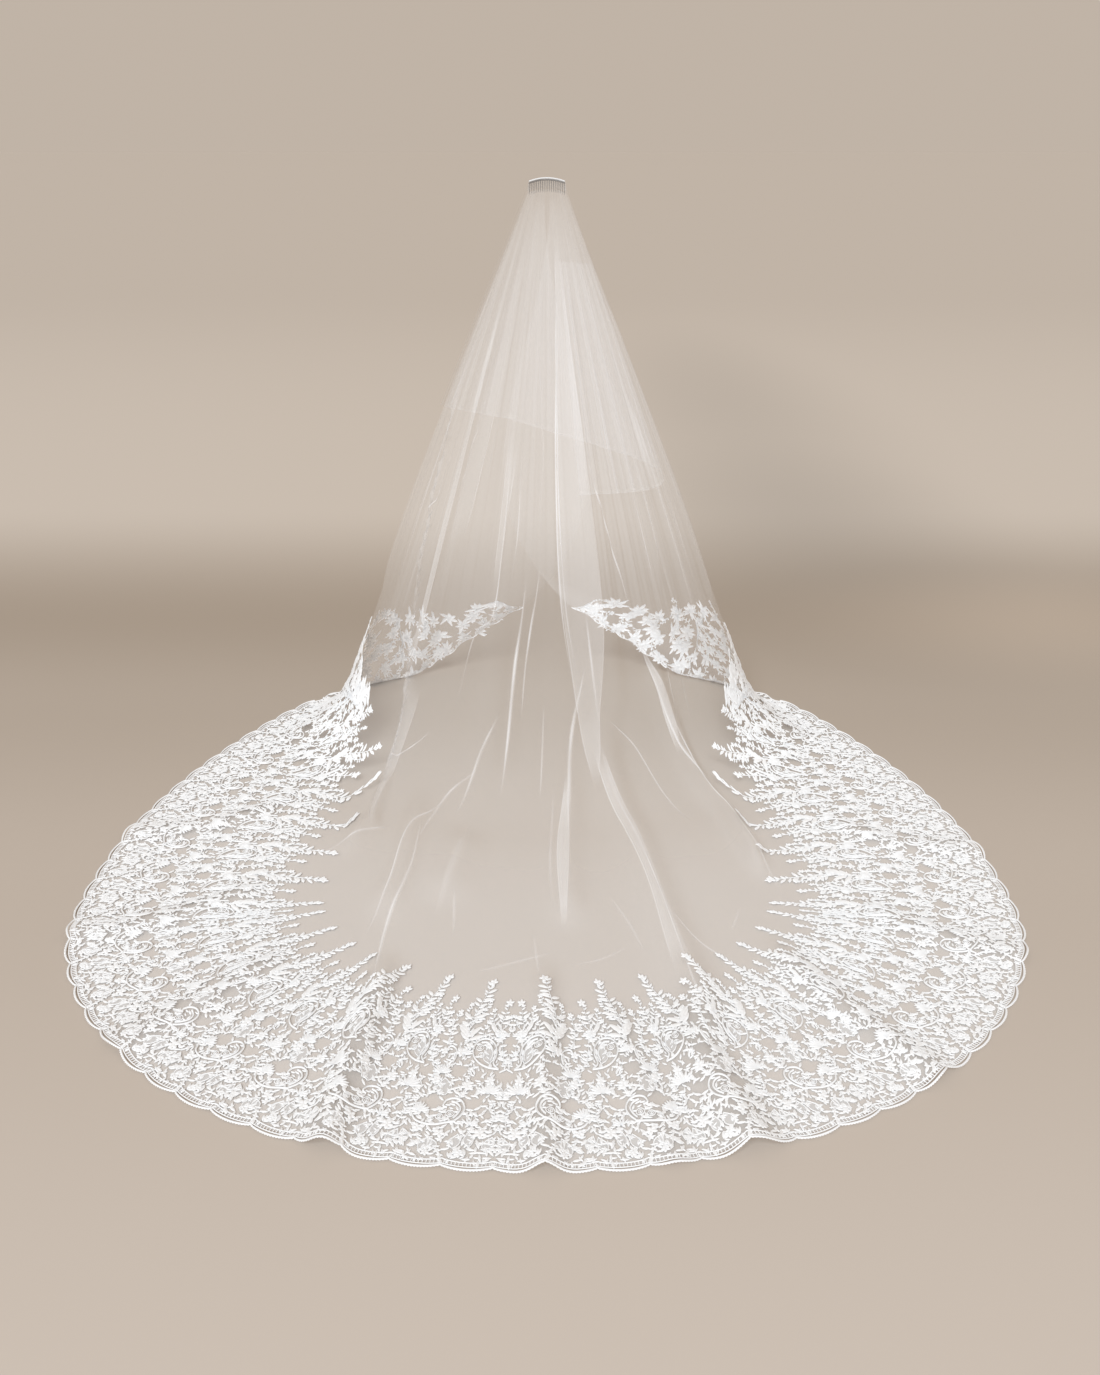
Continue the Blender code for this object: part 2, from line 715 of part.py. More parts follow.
def comb(finish):
    """The comb: a bowed spine with tapered teeth, cut from one plate."""
    pitch = (COMB_WIDTH - TOOTH_ROOT) / (TEETH - 1)
    front = []
    faces = []

    def add(x, drop, lean=0.0):
        bow = BOW * (x / HEADING_HALF_WIDTH) ** 2
        front.append(np.array([x, -lean - bow, -drop - bow]))
        return len(front) - 1

    last = None
    for number in range(TEETH):
        centre = -COMB_WIDTH / 2 + TOOTH_ROOT / 2 + number * pitch
        left, right = centre - TOOTH_ROOT / 2, centre + TOOTH_ROOT / 2
        top_left, top_right = add(left, 0.0), add(right, 0.0)
        root_left, root_right = add(left, SPINE_HEIGHT), add(right, SPINE_HEIGHT)
        tip_left = add(centre - TOOTH_TIP / 2, TOOTH_LENGTH, TOOTH_TILT)
        tip_right = add(centre + TOOTH_TIP / 2, TOOTH_LENGTH, TOOTH_TILT)
        faces.append((root_left, root_right, top_right, top_left))
        faces.append((tip_left, tip_right, root_right, root_left))
        if last:
            faces.append((last[1], root_left, top_left, last[0]))
        last = (top_right, root_right)
    front = np.array(front)
    outer = front + np.array([0.0, -COMB_WALL / 2, 0.0])
    inner = front + np.array([0.0, COMB_WALL / 2, 0.0])
    return wall_object("comb", inner, outer, faces, finish)


def comb_binding(finish):
    """The wire and thread bound along the comb's spine."""
    line = bpy.data.curves.new("comb_binding", "CURVE")
    line.dimensions = "3D"
    line.bevel_depth = BINDING_RADIUS
    line.bevel_resolution = 2
    line.use_fill_caps = True
    places = np.linspace(-COMB_WIDTH / 2, COMB_WIDTH / 2, BINDING_POINTS)
    spline = line.splines.new("POLY")
    spline.points.add(len(places) - 1)
    for point, x in zip(spline.points, places):
        bow = BOW * (x / HEADING_HALF_WIDTH) ** 2
        point.co = (x, -bow, BINDING_RADIUS + SEAM - bow, 1.0)
    line.materials.append(finish)
    made = bpy.data.objects.new("comb_binding", line)
    bpy.context.scene.collection.objects.link(made)
    return made


def build():
    """Make every piece of the veil."""
    clear_scene()
    net = material("net", NET_COLOUR, NET_ROUGHNESS, alpha=NET_ALPHA)
    lace = material("lace", LACE_COLOUR, LACE_ROUGHNESS)
    wire = material("comb", COMB_COLOUR, COMB_ROUGHNESS, metallic=COMB_METALLIC)
    thread = material("binding", BINDING_COLOUR, BINDING_ROUGHNESS)
    comb(wire)
    comb_binding(thread)
    heading(net)
    for name, first, last in FALL_STRETCHES:
        net_stretch("long_fall_" + name, first, last, fall_rows, net)
    for name, first, last in STRETCHES:
        net_stretch("train_net_" + name, first, last, train_rows, net)
        lace_stretch("lace_border_" + name, first, last, lace)
    short_tier(net)
    short_tier_return(net)


if __name__ == "__main__":
    build()
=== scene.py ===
"""The looks of a two-tier wedding veil on a comb: net, corded lace, comb, floor and light.

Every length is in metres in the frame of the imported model: the origin is the middle of the
comb, +Z is up and the train runs out along -Y. A spot on the long tier is given by `place`,
its way along the cut hem from the middle of the train, and `inward`, its way from the hem
towards the comb.
"""

import logging
import math
from dataclasses import dataclass, field
from enum import Enum

import bpy
import numpy as np
from mathutils import Matrix, Vector


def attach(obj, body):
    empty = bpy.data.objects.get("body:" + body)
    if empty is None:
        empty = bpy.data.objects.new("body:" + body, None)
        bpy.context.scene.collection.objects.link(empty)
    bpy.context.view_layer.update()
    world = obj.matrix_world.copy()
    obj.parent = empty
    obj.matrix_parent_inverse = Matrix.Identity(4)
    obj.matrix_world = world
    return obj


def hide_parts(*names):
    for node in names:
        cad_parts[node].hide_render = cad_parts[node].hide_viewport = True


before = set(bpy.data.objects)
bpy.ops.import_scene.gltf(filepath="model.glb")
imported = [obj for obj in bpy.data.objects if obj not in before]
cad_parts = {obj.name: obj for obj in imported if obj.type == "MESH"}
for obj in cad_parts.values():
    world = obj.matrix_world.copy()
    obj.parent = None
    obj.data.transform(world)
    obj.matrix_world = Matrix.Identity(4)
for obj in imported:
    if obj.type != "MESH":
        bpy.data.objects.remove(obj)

Array = np.ndarray
Pair = tuple[float, float]
Way = tuple[Pair, ...]
Colour = tuple[float, float, float, float]
Link = tuple[bpy.types.Node, str | int, bpy.types.Node, str | int]

LOG = logging.getLogger("veil")

# The frame that the cloth hangs in
DROP = 1.67
UNITS_A_SIDE = 40
HEADING_HALF_WIDTH = 0.0545
HEADING_TOP_DEPTH = 0.0024
HEADING_DEPTH = 0.014
HEADING_TOP = 0.001
HEADING_DROP = 0.026
HEADING_ROUNDNESS = 0.6
BOW = 0.010
FOOT_SIDE = 0.70
FOOT_BACK = 0.67
FOOT_FRONT = 0.35
BEND = 0.25
BEND_SHARE = 0.8
LIFT_BLEND = 0.03
HEM_REACH = 0.04
HEM_HANDLE = 0.5
FOOT_HANDLE = 0.3
LEAST_FLOOR_RUN = 0.001

# Hem of the long tier, right half, from the middle of the train to the front corner
HEM = (
    # x, y, lift over the floor, turn round the foot in degrees
    (0.000, -2.21, 0.000, 0.0),
    (0.380, -2.16, 0.000, 11.0),
    (0.820, -1.93, 0.000, 24.0),
    (1.030, -1.68, 0.000, 33.0),
    (1.120, -1.49, 0.000, 38.0),
    (1.160, -1.07, 0.000, 46.0),
    (1.130, -0.80, 0.000, 53.0),
    (1.060, -0.52, 0.000, 62.0),
    (0.960, -0.26, 0.000, 75.0),
    (0.840, -0.03, 0.000, 92.0),
    (0.700, 0.15, 0.000, 112.0),
    (0.520, 0.26, 0.000, 135.0),
    (0.415, 0.30, 0.030, 145.0),
    (0.270, 0.33, 0.125, 158.0),
    (0.074, 0.35, 0.243, 173.0),
)

# Swing of the raw front edges across each other
SWING_RIGHT = 0.20
SWING_LEFT = 0.18
SWING_FROM = 3.35
OVERLAP_FROM = 3.2
OVERLAP_BLEND = 0.2
OVERLAP_STANDOFF = 0.034
OVERLAP_RAMP = 0.1
OVERLAP_LEAST = 0.004
OVERLAP_LEAST_RAMP = 0.05
OVERLAP_TUCK = 0.040
CROSSING_SCALE = 6.75

# Width of the lace border at places along the hem
FULL_BORDER = 0.60
BORDER = (
    # place, width
    (0.00, 0.60),
    (2.60, 0.60),
    (2.94, 0.52),
    (3.16, 0.40),
    (3.38, 0.28),
    (3.67, 0.17),
    (3.85, 0.07),
    (3.90, 0.045),
)


@dataclass(frozen=True)
class Swell:
    """A soft ridge of the net, given in a list.

    Args:
        way: Places and lengths inward that its crest passes, from the top down.
        height: How far it swells.
        spread: Its half width.
    """

    way: Way
    height: float
    spread: float


@dataclass(frozen=True)
class Crease:
    """A narrow crease that tapers to both ends.

    Args:
        way: Places and lengths inward that it passes, from the top down.
        width: Its width where it is widest.
        weight: How closely the threads crowd there.
    """

    way: Way
    width: float
    weight: float


@dataclass(frozen=True)
class Panel:
    """A stretch of net folded over on itself between two edges.

    Args:
        left: Places and lengths inward of its left edge, from the top down.
        right: The same of its right edge.
        weight: How closely the threads of its added layers lie.
        edge: How closely they crowd along its folded edges.
    """

    left: Way
    right: Way
    weight: float
    edge: float


SWELLS = (
    Swell(((0.25, 2.9), (0.1, 2.45), (0.1, 2.05), (0.3, 1.75), (0.2, 1.6)), 0.014, 0.03),
    Swell(((0.9, 2.95), (0.65, 2.6), (0.7, 2.0), (0.75, 1.6)), 0.016, 0.04),
    Swell(((0.5, 1.7), (0.55, 1.2), (0.5, 0.5), (0.4, 0.3), (0.4, -0.1)), 0.032, 0.05),
    Swell(((0.2, 1.6), (0.1, 1.2), (0.1, 0.8)), 0.022, 0.04),
    Swell(((-0.3, 2.0), (-0.35, 1.75), (-0.35, 1.45)), 0.018, 0.03),
    Swell(((-2.6, 2.0), (-2.5, 1.5), (-2.0, 1.3), (-1.4, 1.15), (-1.2, 1.05), (-1.25, 0.8)),
          0.022, 0.05),
    Swell(((1.8, 2.2), (1.8, 1.85), (1.75, 1.5)), 0.014, 0.05),
    Swell(((1.15, 1.7), (1.3, 1.35), (1.3, 1.1), (1.2, 0.7)), 0.034, 0.05),
    Swell(((-1.0, 1.35), (-0.8, 0.95), (-0.75, 0.7)), 0.022, 0.05),
    Swell(((-0.5, 1.3), (-0.5, 0.85)), 0.022, 0.06),
    Swell(((-0.6, 0.65), (-0.5, 0.3), (-0.4, -0.1)), 0.03, 0.035),
    Swell(((0.0, 0.7), (0.0, -0.1)), 0.02, 0.03),
    Swell(((0.2, 0.55), (0.25, -0.1)), 0.01, 0.03),
    Swell(((0.9, 0.6), (0.85, -0.1)), 0.018, 0.04),
    Swell(((-1.0, 0.5), (-1.0, -0.1)), 0.012, 0.05),
    Swell(((-1.45, 0.55), (-1.5, -0.1)), 0.012, 0.05),
    Swell(((1.4, 0.45), (1.4, -0.1)), 0.01, 0.05),
    Swell(((1.95, 0.45), (1.9, -0.1)), 0.01, 0.05),
    Swell(((-2.05, 0.5), (-2.0, -0.1)), 0.012, 0.05),
    Swell(((2.25, 1.75), (2.2, 0.9)), 0.016, 0.04),
    Swell(((2.75, 1.7), (2.7, 0.6)), 0.014, 0.04),
    Swell(((3.2, 1.5), (3.2, 0.3)), 0.014, 0.04),
    Swell(((3.6, 1.4), (3.6, 0.3)), 0.01, 0.03),
    Swell(((-2.85, 1.7), (-2.8, 0.6)), 0.016, 0.04),
    Swell(((-3.2, 1.5), (-3.2, 0.3)), 0.012, 0.04),
    Swell(((-3.45, 1.3), (-3.4, 0.3)), 0.012, 0.03),
)

PANELS = (
    Panel(((0.36, 3.1), (0.26, 2.9), (0.15, 2.6), (0.12, 2.25), (0.25, 1.8), (0.38, 1.45)),
          ((0.62, 3.1), (0.65, 2.6), (0.67, 2.1), (0.65, 1.9), (0.5, 1.65), (0.4, 1.45)), 0.2, 0.34),
    Panel(((0.4, 1.6), (0.45, 1.4), (0.5, 1.0), (0.45, 0.55)),
          ((0.48, 1.6), (0.54, 1.4), (0.56, 1.0), (0.52, 0.55)), 0.26, 0.55),
    Panel(((0.15, 1.55), (0.07, 1.3), (0.06, 0.8)),
          ((0.17, 1.55), (0.14, 1.3), (0.08, 0.8)), 0.4, 0.55),
    Panel(((-1.98, 2.3), (-1.9, 1.9), (-1.86, 1.5), (-1.86, 1.2)),
          ((-1.86, 2.3), (-1.76, 1.9), (-1.75, 1.5), (-1.78, 1.2)), 0.26, 0.42),
    Panel(((-1.8, 1.3), (-1.65, 1.15), (-1.4, 1.1), (-1.15, 1.0)),
          ((-1.45, 1.45), (-1.45, 1.25), (-1.35, 1.15), (-1.13, 1.02)), 0.18, 0.42),
    Panel(((-0.72, 2.5), (-0.7, 2.0)),
          ((-0.5, 2.5), (-0.64, 2.0)), 0.12, 0.3),
    Panel(((1.1, 1.75), (1.2, 1.4), (1.23, 1.3)),
          ((1.12, 1.75), (1.27, 1.4), (1.25, 1.3)), 0.34, 0.5),
    Panel(((2.2, 2.2), (2.18, 1.9), (2.14, 1.5)),
          ((2.36, 2.2), (2.32, 1.9), (2.24, 1.5)), 0.18, 0.36),
    Panel(((2.78, 1.75), (2.76, 1.3), (2.74, 0.7)),
          ((2.92, 1.75), (2.88, 1.3), (2.82, 0.7)), 0.18, 0.36),
    Panel(((-3.0, 1.75), (-2.98, 1.3), (-2.96, 0.7)),
          ((-2.84, 1.75), (-2.86, 1.3), (-2.9, 0.7)), 0.18, 0.36),
    Panel(((-3.52, 1.5), (-3.5, 1.0), (-3.48, 0.5)),
          ((-3.38, 1.5), (-3.4, 1.0), (-3.42, 0.5)), 0.16, 0.36),
)

CREASES = (
    Crease(((0.3, 2.95), (0.17, 2.4), (0.22, 2.0), (0.3, 1.8)), 0.007, 0.55),
    Crease(((0.27, 2.95), (0.14, 2.4), (0.17, 2.0), (0.25, 1.8)), 0.008, 0.7),
    Crease(((0.4, 1.85), (0.25, 1.7), (0.12, 1.25)), 0.016, 0.55),
    Crease(((0.45, 2.0), (0.5, 1.65)), 0.012, 0.45),
    Crease(((0.45, 1.65), (0.5, 1.45), (0.54, 0.9), (0.48, 0.45), (0.4, 0.0)), 0.008, 0.55),
    Crease(((0.05, 1.5), (0.02, 1.1), (0.03, 0.9)), 0.01, 0.32),
    Crease(((-0.25, 2.1), (-0.32, 1.85), (-0.35, 1.45)), 0.013, 0.75),
    Crease(((-0.08, 2.15), (-0.22, 1.85), (-0.24, 1.7)), 0.009, 0.6),
    Crease(((-0.65, 2.5), (-0.62, 2.2), (-0.65, 1.95), (-0.85, 1.85), (-0.95, 1.6)), 0.008, 0.5),
    Crease(((-0.45, 2.55), (-0.4, 2.2), (-0.45, 2.05)), 0.007, 0.36),
    Crease(((-2.1, 1.75), (-2.2, 1.5), (-2.25, 1.0)), 0.007, 0.4),
    Crease(((-1.75, 1.25), (-1.65, 1.15), (-1.4, 1.1), (-1.15, 1.0)), 0.008, 0.5),
    Crease(((-1.05, 1.1), (-1.15, 1.0), (-1.35, 0.75)), 0.012, 0.6),
    Crease(((-1.15, 1.45), (-1.4, 1.25), (-1.6, 1.1)), 0.008, 0.5),
    Crease(((-0.45, 1.7), (-0.6, 1.55), (-0.65, 1.3)), 0.014, 0.42),
    Crease(((-0.6, 1.5), (-0.8, 1.35), (-0.8, 1.1)), 0.013, 0.42),
    Crease(((-0.8, 1.35), (-0.9, 1.15), (-0.8, 0.85), (-0.75, 0.65)), 0.013, 0.8),
    Crease(((-0.85, 1.2), (-0.75, 1.0), (-0.7, 0.75), (-0.55, 0.45)), 0.014, 0.8),
    Crease(((-0.25, 0.62), (-0.12, 0.67), (0.03, 0.72)), 0.024, 0.34),
    Crease(((0.08, 0.66), (0.2, 0.68), (0.32, 0.72)), 0.024, 0.3),
    Crease(((0.3, 0.95), (0.36, 0.8), (0.38, 0.68)), 0.01, 0.4),
    Crease(((0.54, 0.8), (0.6, 0.68), (0.7, 0.55)), 0.012, 0.6),
    Crease(((0.78, 0.66), (0.92, 0.72)), 0.024, 0.3),
    Crease(((1.25, 1.45), (1.3, 1.3), (1.3, 1.1), (1.25, 0.85), (1.2, 0.65)), 0.012, 0.8),
    Crease(((-0.45, 0.95), (-0.38, 0.75)), 0.012, 0.34),
    Crease(((-0.5, 1.3), (-0.5, 0.8)), 0.03, 0.2),
    Crease(((-0.03, 1.75), (-0.05, 1.45)), 0.008, 0.4),
    Crease(((-0.05, 0.8), (-0.02, 0.6)), 0.008, 0.34),
    Crease(((1.1, 1.75), (1.15, 1.6), (1.25, 1.35), (1.35, 1.05), (1.25, 0.8), (1.15, 0.6)), 0.014, 0.62),
    Crease(((0.6, 1.65), (0.85, 1.5), (1.0, 1.15)), 0.009, 0.5),
    Crease(((0.7, 2.4), (0.95, 2.05), (1.05, 1.85)), 0.009, 0.62),
    Crease(((1.55, 2.1), (1.55, 1.6)), 0.012, 0.42),
    Crease(((1.75, 1.9), (1.9, 1.5), (1.95, 1.25)), 0.009, 0.36),
    Crease(((1.45, 1.55), (1.35, 1.35)), 0.01, 0.36),
    Crease(((1.7, 1.3), (1.65, 1.2)), 0.01, 0.34),
    Crease(((1.2, 2.45), (1.15, 2.25)), 0.01, 0.8),
    Crease(((-0.75, 3.1), (-0.95, 2.8), (-1.05, 2.2)), 0.006, 0.34),
    Crease(((-1.35, 2.6), (-1.5, 2.2), (-1.7, 1.8)), 0.007, 0.36),
    Crease(((1.05, 3.0), (1.0, 2.6), (0.95, 2.3)), 0.006, 0.3),
    Crease(((1.45, 2.7), (1.45, 2.3), (1.5, 2.0)), 0.006, 0.28),
    Crease(((2.5, 1.95), (2.48, 1.5), (2.46, 1.0)), 0.008, 0.42),
    Crease(((3.18, 1.6), (3.22, 0.4)), 0.008, 0.42),
    Crease(((3.6, 1.4), (3.62, 0.4)), 0.008, 0.42),
    Crease(((-2.5, 1.9), (-2.48, 0.9)), 0.008, 0.42),
    Crease(((-3.2, 1.6), (-3.16, 0.5)), 0.008, 0.42),
    Crease(((-3.7, 1.3), (-3.72, 0.4)), 0.007, 0.38),
)
FOLD_FADE = 0.15
SQUARE_TO = 2.62
SQUARE_BLEND = 0.55
FULL_FOLD_REACH = 0.90

# Fine gathers run down from the heading, uneven in length, spacing and weight
GATHERS_A_SIDE = 9
GATHER_SEED = 7

# Stretches of the long tier by column, in half repeats from the middle of the train
TRAIN_STRETCHES = (
    ("front_left", -40, -30),
    ("side_left", -30, -12),
    ("back", -12, 12),
    ("side_right", 12, 30),
    ("front_right", 30, 40),
)
FALL_STRETCHES = (
    ("front_left", -40, -31),
    ("side_left", -31, -18),
    ("back_left", -18, 0),
    ("back_right", 0, 18),
    ("side_right", 18, 31),
    ("front_right", 31, 40),
)
LACE_STRETCHES = (
    # piece, CAD node, first repeat, last repeat, the nets it lies on
    ("lace_side_left", "lace_border_side_left", -15, -7, ("net_train_side_left", "net_train_front_left")),
    ("lace_back_left", "lace_border_back", -6, -1, ("net_train_back", "net_train_side_left")),
    ("lace_back_right", "lace_border_back", 0, 6, ("net_train_back", "net_train_side_right")),
    ("lace_side_right", "lace_border_side_right", 7, 15, ("net_train_side_right", "net_train_front_right")),
)


def smooth_step(value: Array) -> Array:
    """Rise softly from 0 to 1."""
    value = np.clip(value, 0.0, 1.0)
    return value * value * (3.0 - 2.0 * value)


def read_table(rows: Way, where: Array) -> Array:
    """Read a table of two columns between its rows."""
    table = np.array(rows)
    return np.interp(where, table[:, 0], table[:, 1])


def smooth_rows(knots: Array, rows: Array, where: float) -> Array:
    """Read a table of rows at one place along its knots, on a smooth curve.

    Args:
        knots: Place of each row.
        rows: The table.
        where: The place to read.

    Returns:
        One row.
    """
    slopes = np.gradient(rows, knots, axis=0)
    i = int(np.clip(np.searchsorted(knots, where, side="right") - 1, 0, len(knots) - 2))
    span = knots[i + 1] - knots[i]
    t = (where - knots[i]) / span
    return (
        (2 * t**3 - 3 * t**2 + 1) * rows[i]
        + (t**3 - 2 * t**2 + t) * span * slopes[i]
        + (3 * t**2 - 2 * t**3) * rows[i + 1]
        + (t**3 - t**2) * span * slopes[i + 1]
    )


def smooth_curve(points: list[Pair], count: int) -> Array:
    """A smooth flat curve through a few points.

    Args:
        points: The points it passes.
        count: How many points the curve gets.

    Returns:
        The curve's points, count by 2.
    """
    rows = np.array(points, float)
    steps = np.linalg.norm(np.diff(rows, axis=0), axis=1)
    knots = np.concatenate([[0.0], np.cumsum(steps)])
    return np.array([smooth_rows(knots, rows, where) for where in np.linspace(0.0, knots[-1], count)])


def grid_triangles(rows: int, columns: int) -> Array:
    """Triangles of a grid of points numbered row by row, facing up if columns run to the left."""
    first = (np.arange(rows - 1)[:, None] * columns + np.arange(columns - 1)).ravel()
    return np.concatenate([
        np.stack([first, first + columns, first + columns + 1], axis=1),
        np.stack([first, first + columns + 1, first + 1], axis=1),
    ])


class Surface:
    """The long tier's surface as a fine table of places and lengths inward."""

    PLACE_STEPS = 12
    INWARD_STEP = 0.01
    OVERHANG = 0.03
    HANGING_POINTS = 40
    CURVE_POINTS = 25
    WAVE_HEIGHT = 0.0032
    WAVE_RISE = 0.45
    WAVE_LEAST = 0.12
    SEARCH_STEPS = 8
    SEARCH_REACH = 0.1
    LEAST_STRETCH = 0.05
    PROBE = 0.05
    LEAST_RISE = 0.6
    END_CLEAR = 0.006

    def __init__(self) -> None:
        """Work out the surface with its folds, its normals and the crowding of its threads."""
        right = np.array(HEM)
        left = right[:0:-1] * np.array([-1.0, 1.0, 1.0, -1.0])
        self.rows = np.vstack([left, right])
        steps = np.linalg.norm(np.diff(self.rows[:, :3], axis=0), axis=1)
        knots = np.concatenate([[0.0], np.cumsum(steps)])
        self.knots = knots - knots[-1] / 2.0
        self.half_hem = float(self.knots[-1])
        self.unit = self.half_hem / UNITS_A_SIDE
        self.places = np.linspace(-self.half_hem, self.half_hem, 2 * UNITS_A_SIDE * self.PLACE_STEPS + 1)
        lines = [self.lengthwise(place) for place in self.places]
        self.total = np.array([line[1][-1] for line in lines])
        self.leaves = np.array([line[2] for line in lines])
        self.inwards = np.arange(-self.OVERHANG, self.total.max() + 0.05, self.INWARD_STEP)
        self.points = np.array([self.resampled(line, run) for line, run, _ in lines])
        self.hem = np.array([smooth_rows(self.knots, self.rows, place)[:2] for place in self.places])
        along = np.gradient(self.hem, axis=0)
        along /= np.linalg.norm(along, axis=1, keepdims=True)
        self.hem_inward = np.stack([-along[:, 1], along[:, 0]], axis=1)
        self.swing_fronts()
        self.plan = self.points[..., :2].copy()
        self.normals = self.normals_of(self.points)
        self.points += self.normals * self.swell()[..., None]
        self.normals = self.normals_of(self.points)

    def lengthwise(self, place: float) -> tuple[Array, Array, float]:
        """One lengthwise line of the net from the hem to the comb.

        Args:
            place: Where it starts on the hem.

        Returns:
            Its points, the length run at each, and the length at which it leaves the floor.
        """
        x, y, lift, degrees = smooth_rows(self.knots, self.rows, place)
        lift = max(lift, 0.0)
        turn = math.radians(degrees)
        hem = np.array([x, y, lift - DROP])
        depth = FOOT_BACK if math.cos(turn) > 0 else FOOT_FRONT
        oval = np.array([FOOT_SIDE * math.sin(turn), -depth * math.cos(turn), -DROP])
        hanging = float(smooth_step(np.array(lift / LIFT_BLEND)))
        foot = oval * (1.0 - hanging) + hem * hanging
        top = heading_point(turn, HEADING_DEPTH, HEADING_DROP)
        on_floor = float(np.linalg.norm((foot - hem)[:2]))
        if on_floor < LEAST_FLOOR_RUN:
            line = foot + (top - foot) * np.linspace(0.0, 1.0, self.HANGING_POINTS)[:, None]
            return line, run_of(line), 0.0
        ahead = smooth_rows(self.knots, self.rows, place + HEM_REACH)
        behind = smooth_rows(self.knots, self.rows, place - HEM_REACH)
        inward = np.array([behind[1] - ahead[1], ahead[0] - behind[0]])
        inward /= np.linalg.norm(inward)
        outward = np.array([math.sin(turn) / FOOT_SIDE, -math.cos(turn) / depth])
        outward /= np.linalg.norm(outward)
        t = np.linspace(0.0, 1.0, self.CURVE_POINTS)[:, None]
        plan = (
            (1 - t) ** 3 * hem[:2]
            + 3 * (1 - t) ** 2 * t * (hem[:2] + inward * HEM_HANDLE * on_floor)
            + 3 * (1 - t) * t**2 * (foot[:2] + outward * FOOT_HANDLE * on_floor)
            + t**3 * foot[:2]
        )
        floor_part = np.hstack([plan, hem[2] + (foot[2] - hem[2]) * t])
        rise = foot + (top - foot) * np.linspace(0.0, 1.0, self.HANGING_POINTS)[1:, None]
        line = np.vstack([floor_part, rise])
        run = run_of(line)
        leaves = run[len(t) - 1]
        bend = min(BEND, BEND_SHARE * leaves)
        start, end = (
            np.array([np.interp(where, run, line[:, axis]) for axis in range(3)])
            for where in (leaves - bend, leaves + bend)
        )
        corner = (1 - t) ** 2 * start + 2 * (1 - t) * t * foot + t**2 * end
        line = np.vstack([line[run < leaves - bend], corner, line[run > leaves + bend]])
        return line, run_of(line), float(leaves)

    def resampled(self, line: Array, run: Array) -> Array:
        """A line's points at the table's lengths inward, going straight on past its hem."""
        points = np.stack([np.interp(self.inwards, run, line[:, axis]) for axis in range(3)], axis=1)
        start = line[1] - line[0]
        start /= np.linalg.norm(start)
        past = self.inwards < 0.0
        points[past] = line[0] + self.inwards[past, None] * start
        return points

    def swing_fronts(self) -> None:
        """Swing the raw front edges across each other, the right one outside."""
        place = self.places[:, None]
        share = np.clip(self.inwards[None, :] / self.total[:, None], 0.0, 1.0)
        swing = smooth_step((np.abs(place) - SWING_FROM) / (self.half_hem - SWING_FROM))
        across = CROSSING_SCALE * share * (1.0 - share) ** 2
        over = smooth_step((place - OVERLAP_FROM) / OVERLAP_BLEND)
        standoff = OVERLAP_STANDOFF * (1.0 - share) * smooth_step(share / OVERLAP_RAMP)
        standoff = standoff + OVERLAP_LEAST * smooth_step(across / OVERLAP_LEAST_RAMP)
        on_right = place > 0.0
        self.points[..., 0] += np.where(on_right, -SWING_RIGHT, SWING_LEFT) * across * swing
        self.points[..., 1] += np.where(on_right, standoff * over, -OVERLAP_TUCK * across * swing)

    @staticmethod
    def normals_of(points: Array) -> Array:
        """Unit normals of a table of points, up on the floor and out on the fall."""
        normals = np.cross(np.gradient(points, axis=0), np.gradient(points, axis=1))
        size = np.linalg.norm(normals, axis=-1, keepdims=True)
        normals = normals / np.maximum(size, 1e-12)
        for row in range(1, normals.shape[1]):
            lost = size[:, row, 0] < 1e-9
            normals[lost, row] = normals[lost, row - 1]
        return normals

    def swell(self) -> Array:
        """How far the folds stand out, as a table like the points."""
        stretch = np.linalg.norm(np.gradient(self.points, self.places, axis=0), axis=-1)
        left = self.total[:, None] - self.inwards[None, :]
        shrink = np.clip(left / FULL_FOLD_REACH, 0.0, 1.0)
        height = np.zeros(stretch.shape)
        for fold in SWELLS:
            crest, fade = self.crest_of(fold)
            away = (self.places[:, None] - crest[None, :]) * stretch / fold.spread
            height += fold.height * np.exp(-away * away) * fade[None, :] * shrink
        gathers = smooth_step((self.inwards[None, :] - self.leaves[:, None] - BEND) / self.WAVE_RISE)
        wave = np.sin(self.places * 2.0 * math.pi / (2.0 * self.unit))
        wave = wave + 0.6 * np.sin(self.places * 2.0 * math.pi / (0.83 * self.unit) + 1.3)
        height += self.WAVE_HEIGHT * (wave[:, None] + 1.6) * gathers * np.maximum(shrink, self.WAVE_LEAST)
        return height

    def crest_of(self, fold: Swell) -> tuple[Array, Array]:
        """A fold's crest at each length inward, and how much of its height it has there."""
        way = np.array(fold.way)[::-1]
        crest = np.interp(self.inwards, way[:, 1], way[:, 0])
        low, high = way[0, 1], way[-1, 1]
        fade_in = smooth_step((self.inwards - low) / FOLD_FADE) if low > 0.0 else np.ones(len(self.inwards))
        return crest, fade_in * smooth_step((high - self.inwards) / FOLD_FADE)

    def read(self, table: Array, place: Array, inward: Array) -> Array:
        """Read a table of the surface between its own places and lengths inward."""
        i = (place + self.half_hem) / (2 * self.half_hem) * (len(self.places) - 1)
        i = np.clip(i, 0, len(self.places) - 1.001)
        j = np.clip((inward - self.inwards[0]) / self.INWARD_STEP, 0, len(self.inwards) - 1.001)
        low_i, low_j = i.astype(int), j.astype(int)
        share_i, share_j = (i - low_i)[:, None], (j - low_j)[:, None]
        near = table[low_i, low_j] * (1 - share_j) + table[low_i, low_j + 1] * share_j
        far = table[low_i + 1, low_j] * (1 - share_j) + table[low_i + 1, low_j + 1] * share_j
        return near * (1 - share_i) + far * share_i

